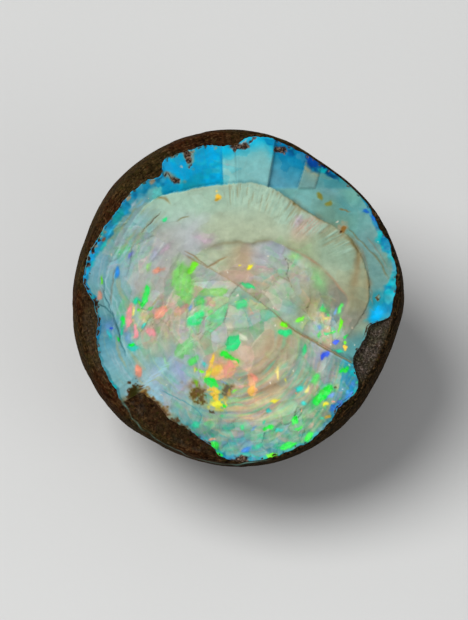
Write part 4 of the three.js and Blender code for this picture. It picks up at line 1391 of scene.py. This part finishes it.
def rind_colours(points):
    """Browns of the ironstone, with the dusty broken rim, the granular patch, the pale vein and painted shade
    on the right.
    """
    x, y, z = points.T
    angle = np.degrees(np.arctan2(y, x))
    past = np.hypot(x, y) - core_edge(angle)
    inwards = rim_radius(angle) - np.hypot(x, y)
    flat = smooth(inwards, 0.5, 1.2) * ((z > 0) & (inwards > 0.1) & (past > -1))
    patch = flat * matrix_share(angle)
    lens = flat * sector(angle, 222, 264, 5)
    behind = smooth(-z, -2, 8)

    def blotches(level, size, low, high):
        return smooth(layered(x, y, level, size), low, high)

    golden = flat * sector(angle, 221, 240, 4) * smooth(layered(x, y, 169, 0.8) - 0.6 * past, -0.5, 0.3)
    dusty = flat * sector(angle, 178, 212, 6) * blotches(163, 2.0, -0.7, 0.3)
    at = SimpleNamespace(x=x, y=y)
    vein = vein_share(at) * (z > 0) * np.clip(0.75 + 0.6 * texture(at, 161, 1.7), 0.15, 1)
    colours = coated(
        np.broadcast_to(paint("earth"), (len(x), 3)),
        ("red_earth", blotches(z, 6, -0.1, 0.7)),
        ("dust", 0.35 * blotches(z + 50, 3.5, 0.1, 0.8)),
        # Painted shade: the rim's right side is darkened with night brown.
        ("night", 0.7 * between(angle, -100, 62, 12) * smooth(z, -4, 0)),
        ("umber", 0.75 * behind),
        ("ochre", 0.6 * behind * blotches(z + 80, 5.0, 0.0, 0.9)),
        ("red_earth", 0.6 * behind * blotches(z + 110, 4.0, 0.1, 0.8)),
        ("dust", 0.3 * flat * smooth(texture(at, 151, 0.6), -0.5, 0.6)),
        ("ash", 0.8 * patch),
        ("tan", 0.7 * golden),
        ("dust", 0.25 * dusty),
        ("red_earth", 0.9 * lens * blotches(165, 1.6, -0.6, 0.3)),
        ("night", 0.45 * lens),
        ("ash", 0.45 * lens * blotches(167, 1.2, 0.2, 0.7)),
        ("vein", vein),
    )
    grit = np.clip(0.65 * patch + 0.14 * dusty, 0, 1)
    return colours, {"vein": vein, "grit": grit, "bedded": 1 - 0.8 * lens}


def rind_piece():
    """The ironstone: its broken rim, its rounded outside, and a plain hollow that the opal fills."""
    steps = len(HOLLOW_COUNTS)
    hollow = [bowl_ring(count, 1 - step / steps, TUCK, TUCK_DROP) for step, count in enumerate(HOLLOW_COUNTS)]
    outside = [outside_ring(RIM_POINTS, BAND_SHARE * step / BAND_RINGS) for step in range(BAND_RINGS)]
    rings = [*hollow, *rough_rings(rounded([*rim_rings(), *outside])), *outside_rings()]
    points = np.vstack(rings)
    colours, values = rind_colours(points)
    x, y, z = points.T
    turn = np.arctan2(y, x)
    depth = np.hypot(rim_radius(np.degrees(turn)) - np.hypot(x, y), rim_height(np.degrees(turn)) - z)
    beds = np.stack([depth, 3 * np.cos(turn), 3 * np.sin(turn)], axis=1)
    return piece("ironstone_skin", rings, colours, **values, beds=beds)


def add(tree, kind, inputs=None, **settings):
    """A shader node with its settings, and its inputs linked or set."""
    made = tree.nodes.new("ShaderNode" + kind)
    for key, value in settings.items():
        setattr(made, key, value)
    for key, value in (inputs or {}).items():
        if isinstance(value, bpy.types.NodeSocket):
            tree.links.new(value, made.inputs[key])
        else:
            made.inputs[key].default_value = value
    return made


def attribute(tree, name, output="Fac"):
    return add(tree, "Attribute", attribute_name=name).outputs[output]


def own_space(tree):
    return add(tree, "TexCoord").outputs["Object"]


def grain(tree, scale, detail=3.0, where=None, **inputs):
    """Noise in the stone's own space, or along another vector, whose lumps get smaller as the scale grows."""
    where = own_space(tree) if where is None else where
    return add(tree, "TexNoise", {"Vector": where, "Scale": scale, "Detail": detail, **inputs}).outputs["Fac"]


def shader_colour(colour):
    """A screen colour, by its name or its numbers, as a shader takes it."""
    numbers = PALETTE[colour] if isinstance(colour, str) else colour
    return (*linear(np.array(numbers, float) / 255), 1)


def ramp(tree, value, *stops):
    """Colours, or greys, along a value. Each stop is a place and a screen colour."""
    made = add(tree, "ValToRGB", {"Fac": value})
    colours = made.color_ramp.elements
    while len(colours) < len(stops):
        colours.new(1.0)
    for element, (place, colour) in zip(colours, stops):
        element.position = place
        element.color = shader_colour(colour)
    return made.outputs["Color"]


def above(tree, value, low, high):
    """Black below a low value and white above a high one."""
    return ramp(tree, value, (low, BLACK), (high, WHITE))


def mixed(tree, share, a, b, way="MIX"):
    """Two colours mixed by a share, in one of the mix node's ways."""
    return add(tree, "Mix", {0: share, 6: a, 7: b}, data_type="RGBA", blend_type=way).outputs[2]


def math_node(tree, operation, a, b):
    return add(tree, "Math", {0: a, 1: b}, operation=operation).outputs[0]


def times(tree, a, b):
    return math_node(tree, "MULTIPLY", a, b)


def material(name):
    made = bpy.data.materials.new(name)
    made.use_nodes = True
    made.node_tree.nodes.clear()
    return made, made.node_tree


def finish_material(tree, inputs, height, distance):
    """The surface shader with its bump, linked to the output."""
    bump = add(tree, "Bump", {"Height": height, "Strength": 1.0, "Distance": distance * MM})
    surface = add(tree, "BsdfPrincipled", {**inputs, "Normal": bump.outputs["Normal"]})
    add(tree, "OutputMaterial", {"Surface": surface.outputs["BSDF"]})


def opal_material():
    """Milky, glassy opal with fine play of colour, and matt ironstone where it shows through."""
    made, tree = material("opal")
    rock = attribute(tree, "rock")
    chips = add(tree, "TexVoronoi", {"Vector": own_space(tree), "Scale": 1700.0}).outputs["Color"]
    hue = add(tree, "SeparateColor", {"Color": chips}).outputs[0]
    colours = ramp(tree, hue, *[(index / len(CHIP_COLOURS), name) for index, name in enumerate(CHIP_COLOURS)])
    chip_share = times(tree, math_node(tree, "SUBTRACT", attribute(tree, "play"), QUIET), 0.25)
    tint = mixed(tree, chip_share, attribute(tree, "tint", "Color"), colours)
    cloud = ramp(tree, grain(tree, 900.0, 4.0), (0.3, (232, 232, 232)), (0.7, WHITE))
    tint = mixed(tree, 1.0, tint, cloud, "MULTIPLY")
    browns = ((0.34, (24, 18, 14)), (0.5, (70, 52, 40)), (0.66, (132, 110, 94)))
    stone = ramp(tree, grain(tree, 3200.0, 4.0), *browns)
    gloss = add(tree, "MapRange", {"Value": grain(tree, 1200.0), 3: 0.26, 4: 0.42}).outputs[0]
    inputs = {
        "Base Color": mixed(tree, rock, tint, stone),
        "Roughness": math_node(tree, "MAXIMUM", gloss, times(tree, rock, 0.8)),
        "IOR": 1.45,
        "Specular IOR Level": 0.12,
        "Subsurface Weight": 0.1,
        "Subsurface Radius": (1.0, 1.0, 1.0),
        "Subsurface Scale": 0.2 * MM,
    }
    finish_material(tree, inputs, grain(tree, 3200.0, 2.0), 0.02)
    return made


def ironstone_material():
    """Dull brown ironstone with hairlines along the rim, red, olive and pale grains, and dark pits."""
    made, tree = material("ironstone")
    beds = attribute(tree, "beds", "Vector")
    bedded = attribute(tree, "bedded")
    vein = attribute(tree, "vein")
    tint = attribute(tree, "tint", "Color")
    lines = grain(tree, 3.2, 5.0, beds, Roughness=0.75)
    fine = grain(tree, 1900.0, 5.0, Roughness=0.7)
    speckle = grain(tree, 3400.0, 3.0, Roughness=0.8)
    bedding = ramp(tree, lines, (0.36, (84, 74, 66)), (0.5, (196, 190, 182)), (0.64, (255, 250, 240)))
    grains = ramp(tree, fine, (0.36, (76, 68, 60)), (0.5, (190, 190, 186)), (0.62, WHITE))
    mottled = mixed(tree, times(tree, bedded, 0.8), tint, bedding, "MULTIPLY")
    mottled = mixed(tree, 0.85, mottled, grains, "MULTIPLY")
    hairlines = above(tree, grain(tree, 8.0, 3.0, beds), 0.57, 0.68)
    hairline_share = times(tree, times(tree, hairlines, bedded), 0.35)
    mottled = mixed(tree, hairline_share, mottled, shader_colour("hairline"))
    for scale, amount, colour in GRAIN_COLOURS:
        share = above(tree, grain(tree, scale), 0.58, 0.7)
        mottled = mixed(tree, times(tree, share, amount), mottled, shader_colour(colour))
    greys = ((0.36, (18, 17, 14)), (0.48, (58, 54, 48)), (0.56, (86, 80, 74)), (0.68, (142, 134, 128)))
    greenish = ramp(tree, grain(tree, 500.0, 2.0), (0.42, (255, 244, 240)), (0.6, (206, 214, 178)))
    gritty = mixed(tree, 1.0, ramp(tree, speckle, *greys), greenish, "MULTIPLY")
    mottled = mixed(tree, attribute(tree, "grit"), mottled, gritty)
    dry = add(tree, "MapRange", {"Value": fine, 3: 0.65, 4: 0.95}).outputs[0]
    inputs = {
        "Base Color": mixed(tree, vein, mottled, tint),
        "Roughness": mixed(tree, vein, dry, (0.35, 0.35, 0.35, 1)),
        "IOR": 1.2,
        "Specular IOR Level": 0.06,
    }
    finish_material(tree, inputs, mixed(tree, 0.5, fine, lines), 0.12)
    return made


def dress(made, node, finish):
    """Puts a visible piece in place of its solid."""
    made.data.materials.append(finish)
    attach(made, "root")
    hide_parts(node)


def floor():
    size = FLOOR_SIZE / 2
    mesh = bpy.data.meshes.new("floor")
    corners = [(-size, -size, 0), (size, -size, 0), (size, size, 0), (-size, size, 0)]
    mesh.from_pydata(corners, [], [(0, 1, 2, 3)])
    finish, tree = material("floor")
    cast = ramp(tree, grain(tree, 6.0), (0.3, (202, 202, 200)), (0.7, (208, 208, 206)))
    finish_material(tree, {"Base Color": cast, "Roughness": 0.7}, grain(tree, 800.0), 0.02)
    mesh.materials.append(finish)
    placed("floor", mesh)


def face_point(x, y, z):
    """A place given in the face's frame, in metres."""
    return Vector(at_rest([(x, y, z)])[0])


def area_light(name, place, size, power):
    """A soft light that looks at the stone from a place in metres, given along the face's own axes."""
    lamp = bpy.data.lights.new(name, "AREA")
    lamp.shape = "DISK"
    lamp.size = size
    lamp.energy = power
    made = placed(name, lamp)
    made.location = face_point(*(np.array(place) / MM))
    made.rotation_euler = (face_point(0, 0, 0) - made.location).to_track_quat("-Z", "Y").to_euler()


def studio():
    area_light("key", KEY_PLACE, KEY_SIZE, KEY_POWER)
    area_light("fill", FILL_PLACE, FILL_SIZE, FILL_POWER)
    world = bpy.data.worlds.new("studio")
    world.use_nodes = True
    world.node_tree.nodes["Background"].inputs["Color"].default_value = SKY_COLOUR
    world.node_tree.nodes["Background"].inputs["Strength"].default_value = SKY_STRENGTH
    bpy.context.scene.world = world
    bpy.context.scene.view_settings.view_transform = "Standard"


def camera():
    lens = bpy.data.cameras.new("camera")
    lens.sensor_fit = "HORIZONTAL"
    lens.sensor_width = SENSOR_WIDTH
    lens.lens = SENSOR_WIDTH * CAMERA_DISTANCE / (VIEW_WIDTH * MM)
    lens.clip_end = 10
    made = placed("camera", lens)
    made.location = face_point(*VIEW_SHIFT, CAMERA_DISTANCE / MM)
    made.rotation_euler = (math.radians(90 - CAMERA_ELEVATION), 0, 0)
    bpy.context.scene.camera = made


camera()
studio()
floor()
dress(opal_piece(), "opal_core", opal_material())
dress(rind_piece(), "ironstone_rind", ironstone_material())
